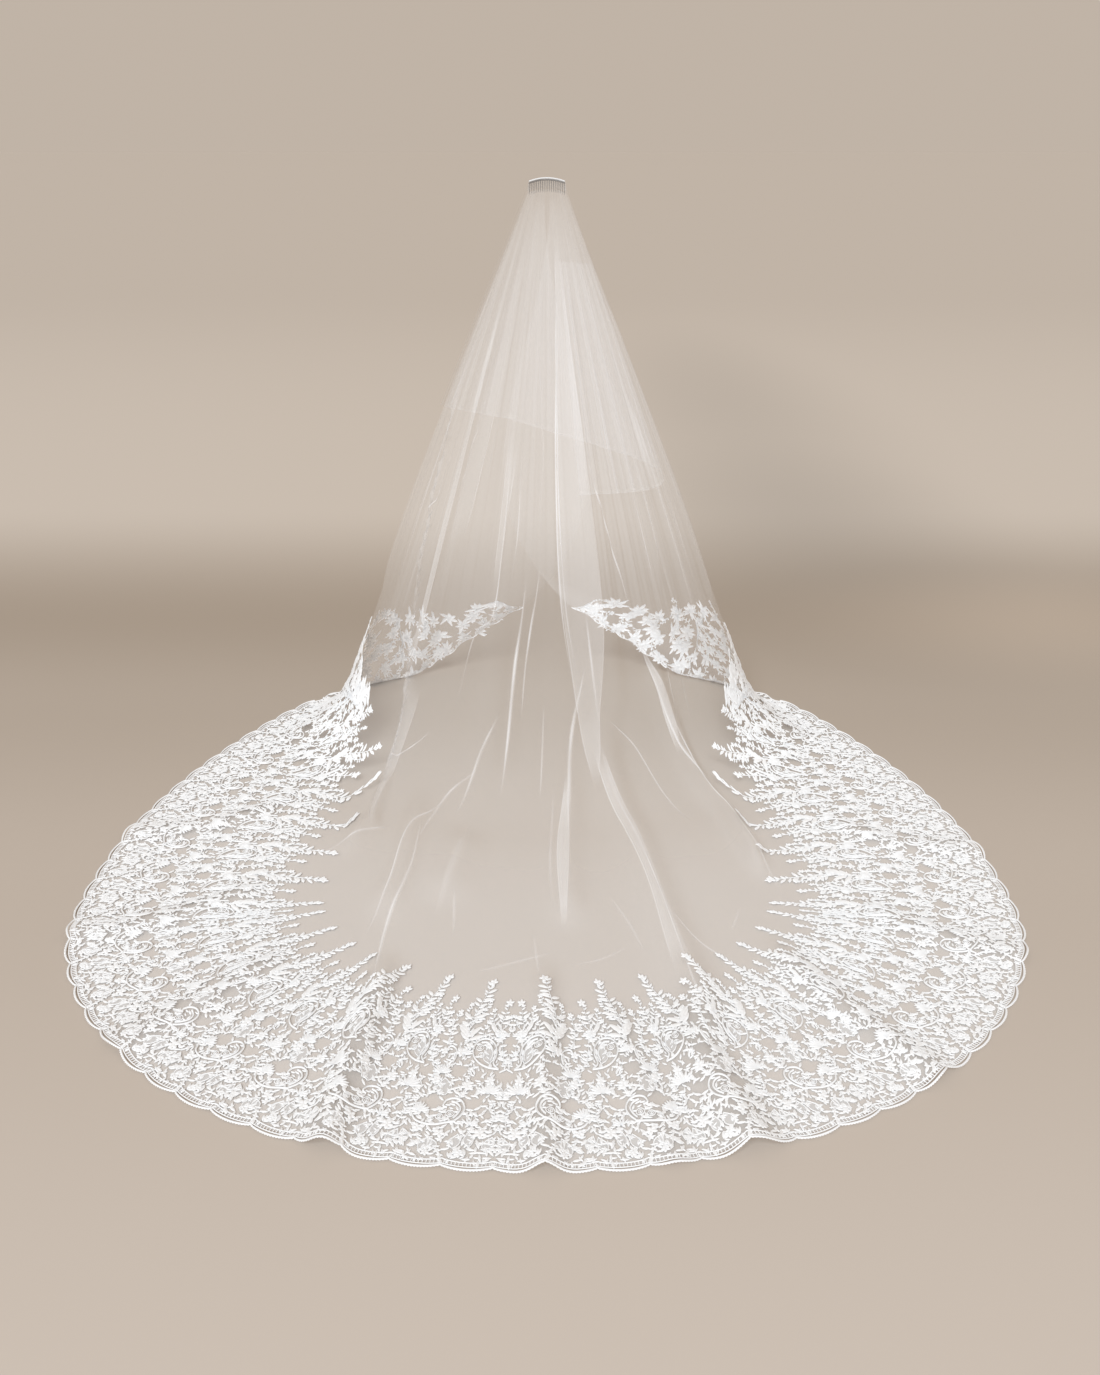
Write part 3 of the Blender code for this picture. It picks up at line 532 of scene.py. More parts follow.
    def square_to_hem(self, place: Array, inward: Array) -> tuple[Array, Array]:
        """Find where work that is sewn on square to the hem lies on the surface.

        Args:
            place: Places along the hem.
            inward: Lengths inward, measured square to the hem.

        Returns:
            The places and lengths inward of the surface at the same spots.
        """
        across = np.gradient(self.plan, self.places, axis=0)
        deep = np.gradient(self.plan, self.INWARD_STEP, axis=1)
        target = np.stack([
            np.interp(place, self.places, self.hem[:, axis])
            + inward * np.interp(place, self.places, self.hem_inward[:, axis])
            for axis in range(2)
        ], axis=1)
        p, i = place.copy(), inward.copy()
        least, most = self.LEAST_STRETCH, self.SEARCH_REACH
        for _ in range(self.SEARCH_STEPS):
            miss = target - self.read(self.plan, p, i)
            a, b = self.read(across, p, i), self.read(deep, p, i)
            whole = a[:, 0] * b[:, 1] - a[:, 1] * b[:, 0]
            whole = np.where(np.abs(whole) < least, least * np.where(whole < 0.0, -1.0, 1.0), whole)
            p += np.clip((miss[:, 0] * b[:, 1] - miss[:, 1] * b[:, 0]) / whole, -most, most)
            i += np.clip((a[:, 0] * miss[:, 1] - a[:, 1] * miss[:, 0]) / whole, -most, most)
        square = smooth_step((SQUARE_TO - np.abs(place)) / SQUARE_BLEND)
        leaning_place, leaning_inward = self.upright(place, inward)
        return p * square + leaning_place * (1.0 - square), i * square + leaning_inward * (1.0 - square)

    def lay(self, place: Array, inward: Array, height: Array) -> Array:
        """Points over the surface.

        Args:
            place: Places along the hem.
            inward: Lengths inward.
            height: Heights over the surface.

        Returns:
            The points, one row each.
        """
        normal = self.read(self.normals, place, inward)
        normal /= np.linalg.norm(normal, axis=1, keepdims=True)
        return self.read(self.points, place, inward) + normal * height[:, None]

    def upright(self, place: Array, length: Array) -> tuple[Array, Array]:
        """Where work that stands square on the hem comes to lie on the leaning net.

        Args:
            place: Its places along the hem.
            length: Its lengths from the hem.

        Returns:
            Places and lengths inward.
        """
        step, none = self.PROBE, np.zeros(len(place))
        middle = np.maximum(length / 2.0, step)
        along = (self.lay(place + step, middle, none) - self.lay(place - step, middle, none)) / (2.0 * step)
        up = (self.lay(place, middle + step, none) - self.lay(place, middle - step, none)) / (2.0 * step)
        stretch = np.linalg.norm(along, axis=1)
        slant = (up * along).sum(axis=1) / stretch
        rise = np.sqrt(np.maximum((up * up).sum(axis=1) - slant**2, self.LEAST_RISE**2))
        end = self.half_hem - self.END_CLEAR
        return np.clip(place - length * slant / (stretch * rise), -end, end), length / rise

    def border(self, place: Array) -> Array:
        """Width of the lace border at places along the hem."""
        return read_table(BORDER, np.abs(place))

    def total_at(self, place: Array) -> Array:
        """Whole length of the lengthwise lines at places along the hem."""
        return np.interp(place, self.places, self.total)

    def leaves_at(self, place: Array) -> Array:
        """Length at which the lengthwise lines leave the floor."""
        return np.interp(place, self.places, self.leaves)


def heading_point(turn: float, depth: float, drop: float) -> Array:
    """A point of the gathered heading's oval, bowed as the comb is."""
    side = math.sin(turn)
    along = math.cos(turn)
    rounded = math.copysign(abs(along) ** HEADING_ROUNDNESS, along)
    bow = BOW * side * side
    return np.array([HEADING_HALF_WIDTH * side, -depth * rounded - bow, -drop - bow])


def run_of(line: Array) -> Array:
    """Length walked up to each point of a line."""
    return np.concatenate([[0.0], np.cumsum(np.linalg.norm(np.diff(line, axis=0), axis=1))])


def set_inputs(node: bpy.types.Node, values: dict[str, float | tuple[float, ...]]) -> None:
    """Set the values of a node's inputs."""
    for socket, value in values.items():
        node.inputs[socket].default_value = value


def join(tree: bpy.types.NodeTree, *links: Link) -> None:
    """Link nodes, each link given as a node, its output, the next node and its input."""
    for source, output, target, entry in links:
        tree.links.new(source.outputs[output], target.inputs[entry])


def new_material(name: str) -> tuple[bpy.types.Material, bpy.types.NodeTree, bpy.types.Node]:
    """A node material, its tree and its shader."""
    made = bpy.data.materials.new(name)
    made.use_nodes = True
    return made, made.node_tree, made.node_tree.nodes["Principled BSDF"]


@dataclass(frozen=True)
class NetFinish:
    """Fine soft net: threads round hexagonal holes, crowded where the cloth is gathered."""

    colour: Colour = (0.89, 0.868, 0.852, 1.0)
    roughness: float = 0.75
    sheen: float = 0.15
    gloss: float = 0.2
    mesh_scale: float = 520.0
    mesh_unevenness: float = 0.35

    def make(self, name: str) -> bpy.types.Material:
        """Build the material; its alpha follows the cloth's own crowding."""
        made, tree, shader = new_material(name)
        set_inputs(shader, {
            "Base Color": self.colour,
            "Roughness": self.roughness,
            "Sheen Weight": self.sheen,
            "Specular IOR Level": self.gloss,
        })
        crowding = tree.nodes.new("ShaderNodeAttribute")
        crowding.attribute_name = "crowding"
        map_of = tree.nodes.new("ShaderNodeAttribute")
        map_of.attribute_name = "cut"
        holes = tree.nodes.new("ShaderNodeTexVoronoi")
        holes.feature = "DISTANCE_TO_EDGE"
        holes.voronoi_dimensions = "2D"
        set_inputs(holes, {"Scale": self.mesh_scale, "Randomness": self.mesh_unevenness})
        thread = tree.nodes.new("ShaderNodeMapRange")
        set_inputs(thread, {"From Min": 0.02, "From Max": 0.22, "To Min": 1.35, "To Max": 0.8})
        times = tree.nodes.new("ShaderNodeMath")
        times.operation = "MULTIPLY"
        times.use_clamp = True
        join(
            tree,
            (map_of, "Vector", holes, "Vector"),
            (holes, "Distance", thread, "Value"),
            (thread, "Result", times, 0),
            (crowding, "Fac", times, 1),
            (times, "Value", shader, "Alpha"),
        )
        return made


@dataclass(frozen=True)
class LaceFinish:
    """Matte corded cotton: twisted cord, fine thread grain and net-filled petals."""

    colour: Colour = (0.98, 0.975, 0.972, 1.0)
    shade: Colour = (0.93, 0.92, 0.912, 1.0)
    roughness: float = 0.88
    sheen: float = 0.2
    gloss: float = 0.2

    def make(self, name: str) -> bpy.types.Material:
        """Build the material; its alpha follows how closely the work is filled."""
        made, tree, shader = new_material(name)
        set_inputs(shader, {
            "Roughness": self.roughness, "Sheen Weight": self.sheen, "Specular IOR Level": self.gloss
        })
        fill = tree.nodes.new("ShaderNodeAttribute")
        fill.attribute_name = "crowding"
        where = tree.nodes.new("ShaderNodeTexCoord")
        grain = tree.nodes.new("ShaderNodeTexNoise")
        set_inputs(grain, {"Scale": 900.0, "Detail": 2.0})
        tone = tree.nodes.new("ShaderNodeTexNoise")
        set_inputs(tone, {"Scale": 60.0})
        mix = tree.nodes.new("ShaderNodeMix")
        mix.data_type = "RGBA"
        set_inputs(mix, {"A": self.colour, "B": self.shade})
        bump = tree.nodes.new("ShaderNodeBump")
        set_inputs(bump, {"Strength": 0.5, "Distance": 0.0006})
        join(
            tree,
            (where, "Object", grain, "Vector"),
            (where, "Object", tone, "Vector"),
            (tone, "Fac", mix, "Factor"),
            (mix, "Result", shader, "Base Color"),
            (grain, "Fac", bump, "Height"),
            (bump, "Normal", shader, "Normal"),
            (fill, "Fac", shader, "Alpha"),
        )
        return made


@dataclass(frozen=True)
class HardFinish:
    """Moulded comb or satin binding thread."""

    colour: Colour
    roughness: float
    grain: float = 400.0
    grain_depth: float = 0.08

    def make(self, name: str) -> bpy.types.Material:
        """Build the material with a faint tonal grain."""
        made, tree, shader = new_material(name)
        set_inputs(shader, {"Metallic": 0.0})
        where = tree.nodes.new("ShaderNodeTexCoord")
        noise = tree.nodes.new("ShaderNodeTexNoise")
        set_inputs(noise, {"Scale": self.grain})
        tone = tree.nodes.new("ShaderNodeValToRGB")
        tone.color_ramp.elements[0].color = tuple(c * 0.85 for c in self.colour[:3]) + (1.0,)
        tone.color_ramp.elements[1].color = self.colour
        rough = tree.nodes.new("ShaderNodeMapRange")
        depth = self.grain_depth
        set_inputs(rough, {"To Min": self.roughness - depth, "To Max": self.roughness + depth})
        bump = tree.nodes.new("ShaderNodeBump")
        set_inputs(bump, {"Strength": 0.2, "Distance": 0.0003})
        join(
            tree,
            (where, "Object", noise, "Vector"),
            (noise, "Fac", tone, "Fac"),
            (noise, "Fac", rough, "Value"),
            (noise, "Fac", bump, "Height"),
            (tone, "Color", shader, "Base Color"),
            (rough, "Result", shader, "Roughness"),
            (bump, "Normal", shader, "Normal"),
        )
        return made


def mesh_piece(
    name: str,
    points: Array,
    triangles: Array,
    finish: bpy.types.Material,
    crowding: Array | None = None,
    cut: Array | None = None,
) -> bpy.types.Object:
    """An object of triangles at the origin.

    Args:
        name: The piece's name.
        points: Its points.
        triangles: Its faces.
        finish: Its material.
        crowding: How closely the threads lie at each point.
        cut: Where each point lies on the flat cut.

    Returns:
        The object, smooth and linked to the scene.
    """
    mesh = bpy.data.meshes.new(name)
    mesh.vertices.add(len(points))
    mesh.vertices.foreach_set("co", np.asarray(points, np.float32).ravel())
    mesh.loops.add(len(triangles) * 3)
    mesh.loops.foreach_set("vertex_index", np.asarray(triangles, np.int32).ravel())
    mesh.polygons.add(len(triangles))
    mesh.polygons.foreach_set("loop_start", np.arange(0, len(triangles) * 3, 3, dtype=np.int32))
    mesh.update(calc_edges=True)
    mesh.validate()
    mesh.shade_smooth()
    if crowding is not None:
        attribute = mesh.attributes.new("crowding", "FLOAT", "POINT")
        attribute.data.foreach_set("value", np.asarray(crowding, np.float32))
    if cut is not None:
        attribute = mesh.attributes.new("cut", "FLOAT_VECTOR", "POINT")
        flat = np.column_stack([cut, np.zeros(len(cut))])
        attribute.data.foreach_set("vector", np.asarray(flat, np.float32).ravel())
    mesh.materials.append(finish)
    made = bpy.data.objects.new(name, mesh)
    bpy.context.scene.collection.objects.link(made)
    return made


class Repeater:
    """A Geometry Nodes tree that repeats one motif along a straight row."""

    INPUTS = (
        ("Geometry", "NodeSocketGeometry"),
        ("Motif", "NodeSocketObject"),
        ("Count", "NodeSocketInt"),
        ("Start", "NodeSocketFloat"),
        ("Pitch", "NodeSocketFloat"),
        ("Unevenness", "NodeSocketFloat"),
        ("Seed", "NodeSocketInt"),
        ("Finish", "NodeSocketMaterial"),
    )

    def __init__(self) -> None:
        """Build the tree with its named inputs."""
        tree = bpy.data.node_groups.new("repeat_along_row", "GeometryNodeTree")
        for name, kind in self.INPUTS:
            tree.interface.new_socket(name, in_out="INPUT", socket_type=kind)
        tree.interface.new_socket("Geometry", in_out="OUTPUT", socket_type="NodeSocketGeometry")
        nodes = tree.nodes
        given = nodes.new("NodeGroupInput")
        result = nodes.new("NodeGroupOutput")
        start = nodes.new("ShaderNodeCombineXYZ")
        step = nodes.new("ShaderNodeCombineXYZ")
        row = nodes.new("GeometryNodeMeshLine")
        row.mode = "OFFSET"
        jitter = nodes.new("FunctionNodeRandomValue")
        jitter.data_type = "FLOAT"
        jitter.inputs[2].default_value = -1.0
        jitter.inputs[3].default_value = 1.0
        uneven = nodes.new("ShaderNodeMath")
        uneven.operation = "MULTIPLY"
        shift = nodes.new("ShaderNodeCombineXYZ")
        move = nodes.new("GeometryNodeSetPosition")
        motif = nodes.new("GeometryNodeObjectInfo")
        motif.transform_space = "ORIGINAL"
        place = nodes.new("GeometryNodeInstanceOnPoints")
        real = nodes.new("GeometryNodeRealizeInstances")
        dress = nodes.new("GeometryNodeSetMaterial")
        join(
            tree,
            (given, "Start", start, "X"),
            (given, "Pitch", step, "X"),
            (given, "Count", row, "Count"),
            (start, "Vector", row, "Start Location"),
            (step, "Vector", row, "Offset"),
            (given, "Seed", jitter, "Seed"),
            (jitter, 1, uneven, 0),
            (given, "Unevenness", uneven, 1),
            (uneven, "Value", shift, "X"),
            (row, "Mesh", move, "Geometry"),
            (shift, "Vector", move, "Offset"),
            (given, "Motif", motif, "Object"),
            (move, "Geometry", place, "Points"),
            (motif, "Geometry", place, "Instance"),
            (place, "Instances", real, "Geometry"),
            (real, "Geometry", dress, "Geometry"),
            (given, "Finish", dress, "Material"),
            (dress, "Geometry", result, "Geometry"),
        )
        self.tree = tree

    def row_of(
        self,
        motif: bpy.types.Object,
        count: int,
        start: float,
        pitch: float,
        finish: bpy.types.Material,
        unevenness: float = 0.0,
        seed: int = 1,
    ) -> tuple[Array, Array, Array]:
        """Repeat a motif along X and read the result.

        Args:
            motif: The object to repeat.
            count: How many times.
            start: Where the first one stands.
            pitch: Way from one to the next.
            finish: Material of the result.
            unevenness: How far each may stand from its even place.
            seed: Seed of that unevenness.

        Returns:
            Points, triangles and the crowding at each point.
        """
        carrier = bpy.data.objects.new("row_carrier", bpy.data.meshes.new("row_carrier"))
        bpy.context.scene.collection.objects.link(carrier)
        modifier = carrier.modifiers.new("repeat", "NODES")
        modifier.node_group = self.tree
        names = {
            item.name: item.identifier
            for item in self.tree.interface.items_tree
            if item.item_type == "SOCKET" and item.in_out == "INPUT"
        }
        values = (motif, count, start, pitch, unevenness, seed, finish)
        for (name, _), value in zip(self.INPUTS[1:], values):
            modifier[names[name]] = value
        graph = bpy.context.evaluated_depsgraph_get()
        mesh = bpy.data.meshes.new_from_object(carrier.evaluated_get(graph), depsgraph=graph)
        points = np.empty(len(mesh.vertices) * 3, np.float32)
        mesh.vertices.foreach_get("co", points)
        mesh.calc_loop_triangles()
        triangles = np.empty(len(mesh.loop_triangles) * 3, np.int32)
        mesh.loop_triangles.foreach_get("vertices", triangles)
        crowding = np.ones(len(mesh.vertices), np.float32)
        if "crowding" in mesh.attributes:
            mesh.attributes["crowding"].data.foreach_get("value", crowding)
        bpy.data.objects.remove(carrier)
        bpy.data.meshes.remove(mesh)
        return points.reshape(-1, 3).astype(float), triangles.reshape(-1, 3), crowding


def pointing(degrees: float) -> tuple[Array, Array]:
    """Unit vectors along an angle and square to its left."""
    turn = math.radians(degrees)
    along = np.array([math.cos(turn), math.sin(turn)])
    return along, np.array([-along[1], along[0]])


def circle(centre: Pair, radius: float, turns: Array) -> Array:
    """Points of a flat circle at some turns."""
    return np.stack([centre[0] + radius * np.cos(turns), centre[1] + radius * np.sin(turns)], axis=1)


class Drawing:
    """Lace work drawn flat: x along the hem, y inward, z up from the net."""

    THIN_END = 0.45
    LEAF_AT = np.array([0.25, 0.55, 0.82])
    LEAF_FORM = np.array([0.75, 1.0, 0.62])
    LEAF_FOOT = 0.4
    KNOT_SIDES = 6
    KNOT_HEIGHT = 0.0018
    RING_POINTS_A_METRE = 1600
    RING_BASE = 0.001
    FLOWER_PETALS = 5
    FLOWER_BASE = 0.0015
    ROSE_RINGS = ((1.0, 6, 0.0006), (0.58, 5, 0.0022))
    SPRIG_SPREAD = 46.0
    SPRIG_LEFT_OUT = 0.16

    def __init__(self, seed: int) -> None:
        """Start an empty drawing.

        Args:
            seed: Seed of its small unevenness.
        """
        self.points: list[Array] = []
        self.triangles: list[Array] = []
        self.filled: list[Array] = []
        self.count = 0
        self.random = np.random.default_rng(seed)

    def add(self, points: Array, triangles: Array, filled: float) -> None:
        """Add some faces, filled as closely as stated."""
        self.points.append(points)
        self.triangles.append(triangles + self.count)
        self.filled.append(np.full(len(points), filled))
        self.count += len(points)

    def joined(self) -> tuple[Array, Array, Array]:
        """All points, triangles and how closely each point is filled."""
        return np.vstack(self.points), np.vstack(self.triangles), np.concatenate(self.filled)

    def cord(self, line: Array, width: float, height: float, base: float, thin_end: bool = False) -> None:
        """A raised cord along a flat line.

        Args:
            line: Its points.
            width: Its width.
            height: Its height.
            base: Where its foot lies.
            thin_end: Whether it runs out thin.
        """
        along = np.gradient(line, axis=0)
        along /= np.maximum(np.linalg.norm(along, axis=1, keepdims=True), 1e-9)
        across = np.stack([-along[:, 1], along[:, 0]], axis=1)
        half = np.full(len(line), width / 2.0)
        if thin_end:
            half *= np.linspace(1.0, self.THIN_END, len(line))
        offset = across * half[:, None]
        flat = np.stack([line - offset, line, line + offset], axis=1).reshape(-1, 2)
        z = np.tile([base, base + height, base], len(line))
        self.add(np.column_stack([flat, z]), grid_triangles(len(line), 3), 1.0)

    def leaf(
        self,
        foot: Pair,
        angle: float,
        length: float,
        width: float,
        base: float,
        height: float,
        bend: float = 0.0,
        filled: float = 1.0,
    ) -> None:
        """A pointed leaf or petal with a raised middle.

        Args:
            foot: Where it grows from.
            angle: The way it points, in degrees.
            length: Its length.
            width: Its width.
            base: Where its edge lies.
            height: How far its middle stands up.
            bend: How far it curls to its left, as a share of its length.
            filled: How closely it is filled.
        """
        t = self.LEAF_AT
        along, across = pointing(angle)
        start = np.array(foot)
        middle = start + along * length * t[:, None] + across * (bend * length * t * t)[:, None]
        tip = start + along * length + across * bend * length
        offset = across * (width / 2.0 * self.LEAF_FORM)[:, None]
        rows = np.stack([middle - offset, middle, middle + offset], axis=1)
        flat = np.vstack([start, rows.reshape(-1, 2), tip])
        rise = np.tile([base, base + height, base], len(t))
        z = np.concatenate([[base + height * self.LEAF_FOOT], rise, [base]])
        faces = [(0, 1, 2), (0, 2, 3)]
        for row in range(2):
            a = 1 + row * 3
            faces += [(a, a + 3, a + 4), (a, a + 4, a + 1), (a + 1, a + 4, a + 5), (a + 1, a + 5, a + 2)]
        faces += [(7, 10, 8), (8, 10, 9)]
        self.add(np.column_stack([flat, z]), np.array(faces), filled)

    def knob(self, centre: Pair, radius: float, base: float, height: float) -> None:
        """A small round knot."""
        sides = self.KNOT_SIDES
        turns = np.linspace(0.0, 2.0 * math.pi, sides, endpoint=False)
        flat = np.vstack([np.array(centre), circle(centre, radius, turns)])
        z = np.concatenate([[base + height], np.full(sides, base)])
        faces = np.array([(0, 1 + i, 1 + (i + 1) % sides) for i in range(sides)])
        self.add(np.column_stack([flat, z]), faces, 1.0)

    def ring(self, centre: Pair, radius: float, width: float, base: float, height: float) -> None:
        """A cord laid in a circle."""
        turns = np.linspace(0.0, 2.0 * math.pi, max(9, int(radius * self.RING_POINTS_A_METRE)))
        self.cord(circle(centre, radius, turns), width, height, base)

    def rosette(self, centre: Pair, radius: float) -> None:
        """Two rings round a knot."""
        self.ring(centre, radius, 0.0024, self.RING_BASE, 0.0016)
        self.ring(centre, radius * 0.52, 0.0018, self.RING_BASE, 0.0014)
        self.knob(centre, radius * 0.24, self.RING_BASE, 0.0016)

    def rose(self, centre: Pair, radius: float) -> None:
        """A full flower: a ring of broad petals and a smaller ring within it."""
        for share, petals, base in self.ROSE_RINGS:
            start = self.random.uniform(0, 60)
            for i in range(petals):
                length = radius * share * self.random.uniform(0.80, 1.10)
                self.leaf(centre, start + 360.0 / petals * i, length, length * 0.52, base, 0.0030, 0.12)
        self.knob(centre, radius * 0.16, 0.004, self.KNOT_HEIGHT)

    def flower(self, centre: Pair, radius: float, turn: float) -> None:
        """A flower of rounded petals with a knot in its middle."""
        base = self.FLOWER_BASE
        for i in range(self.FLOWER_PETALS):
            angle = turn + 360.0 / self.FLOWER_PETALS * i + self.random.uniform(-6, 6)
            length = radius * self.random.uniform(0.92, 1.06)
            self.leaf(centre, angle, length, radius * 0.62, base, 0.0028)
        self.knob(centre, radius * 0.22, base + 0.0012, self.KNOT_HEIGHT)

    def net_petal(self, foot: Pair, angle: float, length: float, width: float, bend: float) -> None:
        """A large petal outlined in cord and filled with net."""
        self.leaf(foot, angle, length, width * 0.96, 0.0006, 0.0002, bend, 0.5)
        along, across = pointing(angle)
        t = np.linspace(0.0, 1.0, 8)
        for side in (-1.0, 1.0):
            half = width / 2.0 * np.sin(math.pi * t**0.85) * side
            line = np.array(foot) + along * (length * t)[:, None]
            line = line + across * (bend * length * t * t + half)[:, None]
            self.cord(line, 0.0026, 0.0018, 0.0006)

    def sprig(self, way: list[Pair], leaf: float, pitch: float, flower: float) -> None:
        """A stem with leaves to both sides and a star flower at its tip.

        Args:
            way: Points that the stem passes.
            leaf: Length of its lowest leaves.
            pitch: Way between leaves.
            flower: Radius of the flower at the tip, or 0 for none.
        """
        run = run_of(np.array(way, float))[-1]
        count = max(int(run / pitch), 3)
        line = smooth_curve(way, count + 1)
        self.cord(line, 0.0028, 0.0020, 0.0008, thin_end=True)
        for i in range(1, count):
            heading = line[i] - line[i - 1]
            angle = math.degrees(math.atan2(heading[1], heading[0]))
            size = leaf * (1.0 - 0.45 * i / count)
            for side in (1.0, -1.0):
                if self.random.uniform() < self.SPRIG_LEFT_OUT:
                    continue
                turn = angle + side * (self.SPRIG_SPREAD + self.random.uniform(-18, 16))
                length = size * self.random.uniform(0.45, 1.25)
                foot = line[i] - heading * self.random.uniform(0.0, 0.6)
                self.leaf(tuple(foot), turn, length, 0.0022 + length * 0.26, 0.0008, 0.0030, 0.2 * side)
        if flower > 0.0:
            self.flower(tuple(line[-1]), flower, self.random.uniform(0, 72))


@dataclass
class LaceRepeat:
    """One repeat of the border: scalloped hem, leafy ground, a scroll, a paisley and sprigs."""

    half: float
    lean: float = 0.022
    ground_pitch: float = 0.0100
    ground_top: float = 0.425
    clear: float = 0.0042
    hem_bow: float = 0.7
    hem_cords: tuple[tuple[float, float, float, float], ...] = (
        # y, how far it bows out, width, height
        (0.0, 0.0100, 0.0042, 0.0030),
        (0.0045, 0.0070, 0.0024, 0.0018),
        (0.0165, 0.0080, 0.0026, 0.0020),
    )
    gaps: tuple[tuple[float, float, float, float, float], ...] = (
        # x, y, half width, half height, lean
        (0.058, 0.172, 0.016, 0.0176, 0.3),
        (-0.038, 0.176, 0.0134, 0.016, -0.4),
        (-0.072, 0.146, 0.0084, 0.0101, 0.0),
        (0.02, 0.272, 0.016, 0.0193, 0.5),
        (-0.0974, 0.262, 0.0134, 0.0193, 0.3),
        (0.0974, 0.262, 0.0134, 0.0193, 0.3),
        (0.086, 0.206, 0.0084, 0.0101, 0.0),
        (0.056, 0.384, 0.0134, 0.0286, 0.2),
        (-0.006, 0.41, 0.0101, 0.0252, 0.0),
        (-0.0974, 0.366, 0.0109, 0.0252, 0.0),
        (0.0974, 0.366, 0.0109, 0.0252, 0.0),
        (-0.03, 0.262, 0.0067, 0.0101, 0.0),
    )
    petals: tuple[tuple[float, float, float, float, float], ...] = (
        # x, y, angle, length, width
        (0.036, 0.192, 72.0, 0.054, 0.036),
        (-0.052, 0.3, 74.0, 0.058, 0.03),
        (-0.078, 0.04, 100.0, 0.042, 0.022),
        (-0.046, 0.052, 74.0, 0.04, 0.02),
        (0.05, 0.034, 112.0, 0.042, 0.022),
        (0.082, 0.05, 62.0, 0.038, 0.02),
        (-0.014, 0.044, 92.0, 0.04, 0.021),
        (0.018, 0.04, 48.0, 0.032, 0.018),
        (-0.088, 0.196, 80.0, 0.036, 0.022),
    )
    flowers: tuple[tuple[float, float, float], ...] = (
        # x, y, radius
        (-0.062, 0.088, 0.016),
        (0.02, 0.082, 0.014),
        (0.068, 0.092, 0.013),
        (-0.03, 0.03, 0.011),
        (0.036, 0.026, 0.01),
        (-0.01, 0.226, 0.016),
        (0.07, 0.236, 0.015),
        (-0.062, 0.244, 0.014),
        (0.03, 0.33, 0.018),
        (0.012, 0.352, 0.014),
        (-0.064, 0.404, 0.015),
        (0.076, 0.33, 0.014),
        (0.03, 0.386, 0.014),
    )
    fans: tuple[tuple[float, float, float, float, float, int], ...] = (
        # x, y, first angle, last angle, length, leaves
        (-0.062, 0.206, 14.0, 166.0, 0.038, 9),
        (0.062, 0.256, 26.0, 150.0, 0.036, 8),
        (0.022, 0.322, 40.0, 160.0, 0.03, 7),
        (0.084, 0.136, 50.0, 160.0, 0.032, 7),
        (-0.036, 0.11, 40.0, 170.0, 0.026, 6),
        (-0.066, 0.386, 50.0, 150.0, 0.032, 6),
    )
    rosettes: tuple[tuple[float, float, float], ...] = (
        # x, y, radius
        (0.01, 0.14, 0.0092),
        (0.031, 0.128, 0.0078),
        (0.048, 0.12, 0.006),
        (-0.018, 0.35, 0.0098),
        (-0.026, 0.326, 0.008),
    )
    scrolls: tuple[Way, ...] = (
        ((-0.002, 0.118), (-0.014, 0.136), (-0.018, 0.16), (-0.006, 0.18), (0.012, 0.184), (0.028, 0.174),
         (0.029, 0.158), (0.02, 0.156)),
        ((0.002, 0.126), (-0.006, 0.14), (-0.009, 0.158), (0.0, 0.17), (0.014, 0.174)),
        ((-0.004, 0.118), (0.014, 0.112), (0.036, 0.104), (0.06, 0.104), (0.08, 0.112), (0.09, 0.124)),
        ((-0.078, 0.282), (-0.062, 0.3), (-0.066, 0.33), (-0.058, 0.362), (-0.036, 0.38), (-0.012, 0.374),
         (0.0, 0.35), (-0.006, 0.322), (-0.024, 0.3), (-0.05, 0.286), (-0.078, 0.282)),
        ((-0.052, 0.306), (-0.055, 0.334), (-0.048, 0.356), (-0.034, 0.368), (-0.018, 0.366)),
        ((0.044, 0.292), (0.04, 0.314), (0.048, 0.34), (0.064, 0.346), (0.072, 0.332), (0.066, 0.322)),
    )
    sprigs: tuple[tuple[Way, float, float, float], ...] = (
        # way, leaf, pitch, flower
        (((0.022, 0.36), (0.03, 0.44), (0.02, 0.52), (0.014, 0.586)), 0.046, 0.0125, 0.017),
        (((-0.052, 0.394), (-0.066, 0.45), (-0.072, 0.512)), 0.038, 0.012, 0.015),
        (((0.072, 0.35), (0.084, 0.41), (0.078, 0.466)), 0.03, 0.012, 0.011),
        (((0.026, 0.4), (0.046, 0.446), (0.052, 0.496)), 0.024, 0.0115, 0.01),
        (((0.024, 0.424), (0.002, 0.47), (-0.008, 0.518)), 0.024, 0.0115, 0.01),
        (((-0.056, 0.412), (-0.036, 0.446), (-0.03, 0.482)), 0.024, 0.0115, 0.009),
        (((-0.06, 0.406), (-0.084, 0.434), (-0.09, 0.462)), 0.02, 0.0115, 0.008),
        (((-0.02, 0.376), (-0.016, 0.41), (-0.024, 0.44)), 0.022, 0.0115, 0.008),
        (((-0.08, 0.1), (-0.086, 0.15), (-0.072, 0.186)), 0.022, 0.012, 0.0),
        (((0.0, 0.186), (-0.012, 0.25), (0.004, 0.3)), 0.022, 0.012, 0.0),
        (((0.05, 0.19), (0.076, 0.24), (0.084, 0.3)), 0.02, 0.012, 0.0),
        (((-0.09, 0.29), (-0.084, 0.33), (-0.076, 0.37)), 0.02, 0.012, 0.0),
    )

    def open_at(self, x: float, y: float) -> bool:
        """Whether a spot lies in one of the gaps."""
        for gap_x, gap_y, half_width, half_height, lean in self.gaps:
            up = (y - gap_y) / half_height
            across = (x - gap_x) / half_width - lean * up
            if across * across + up * up < 1.0:
                return True
        return False

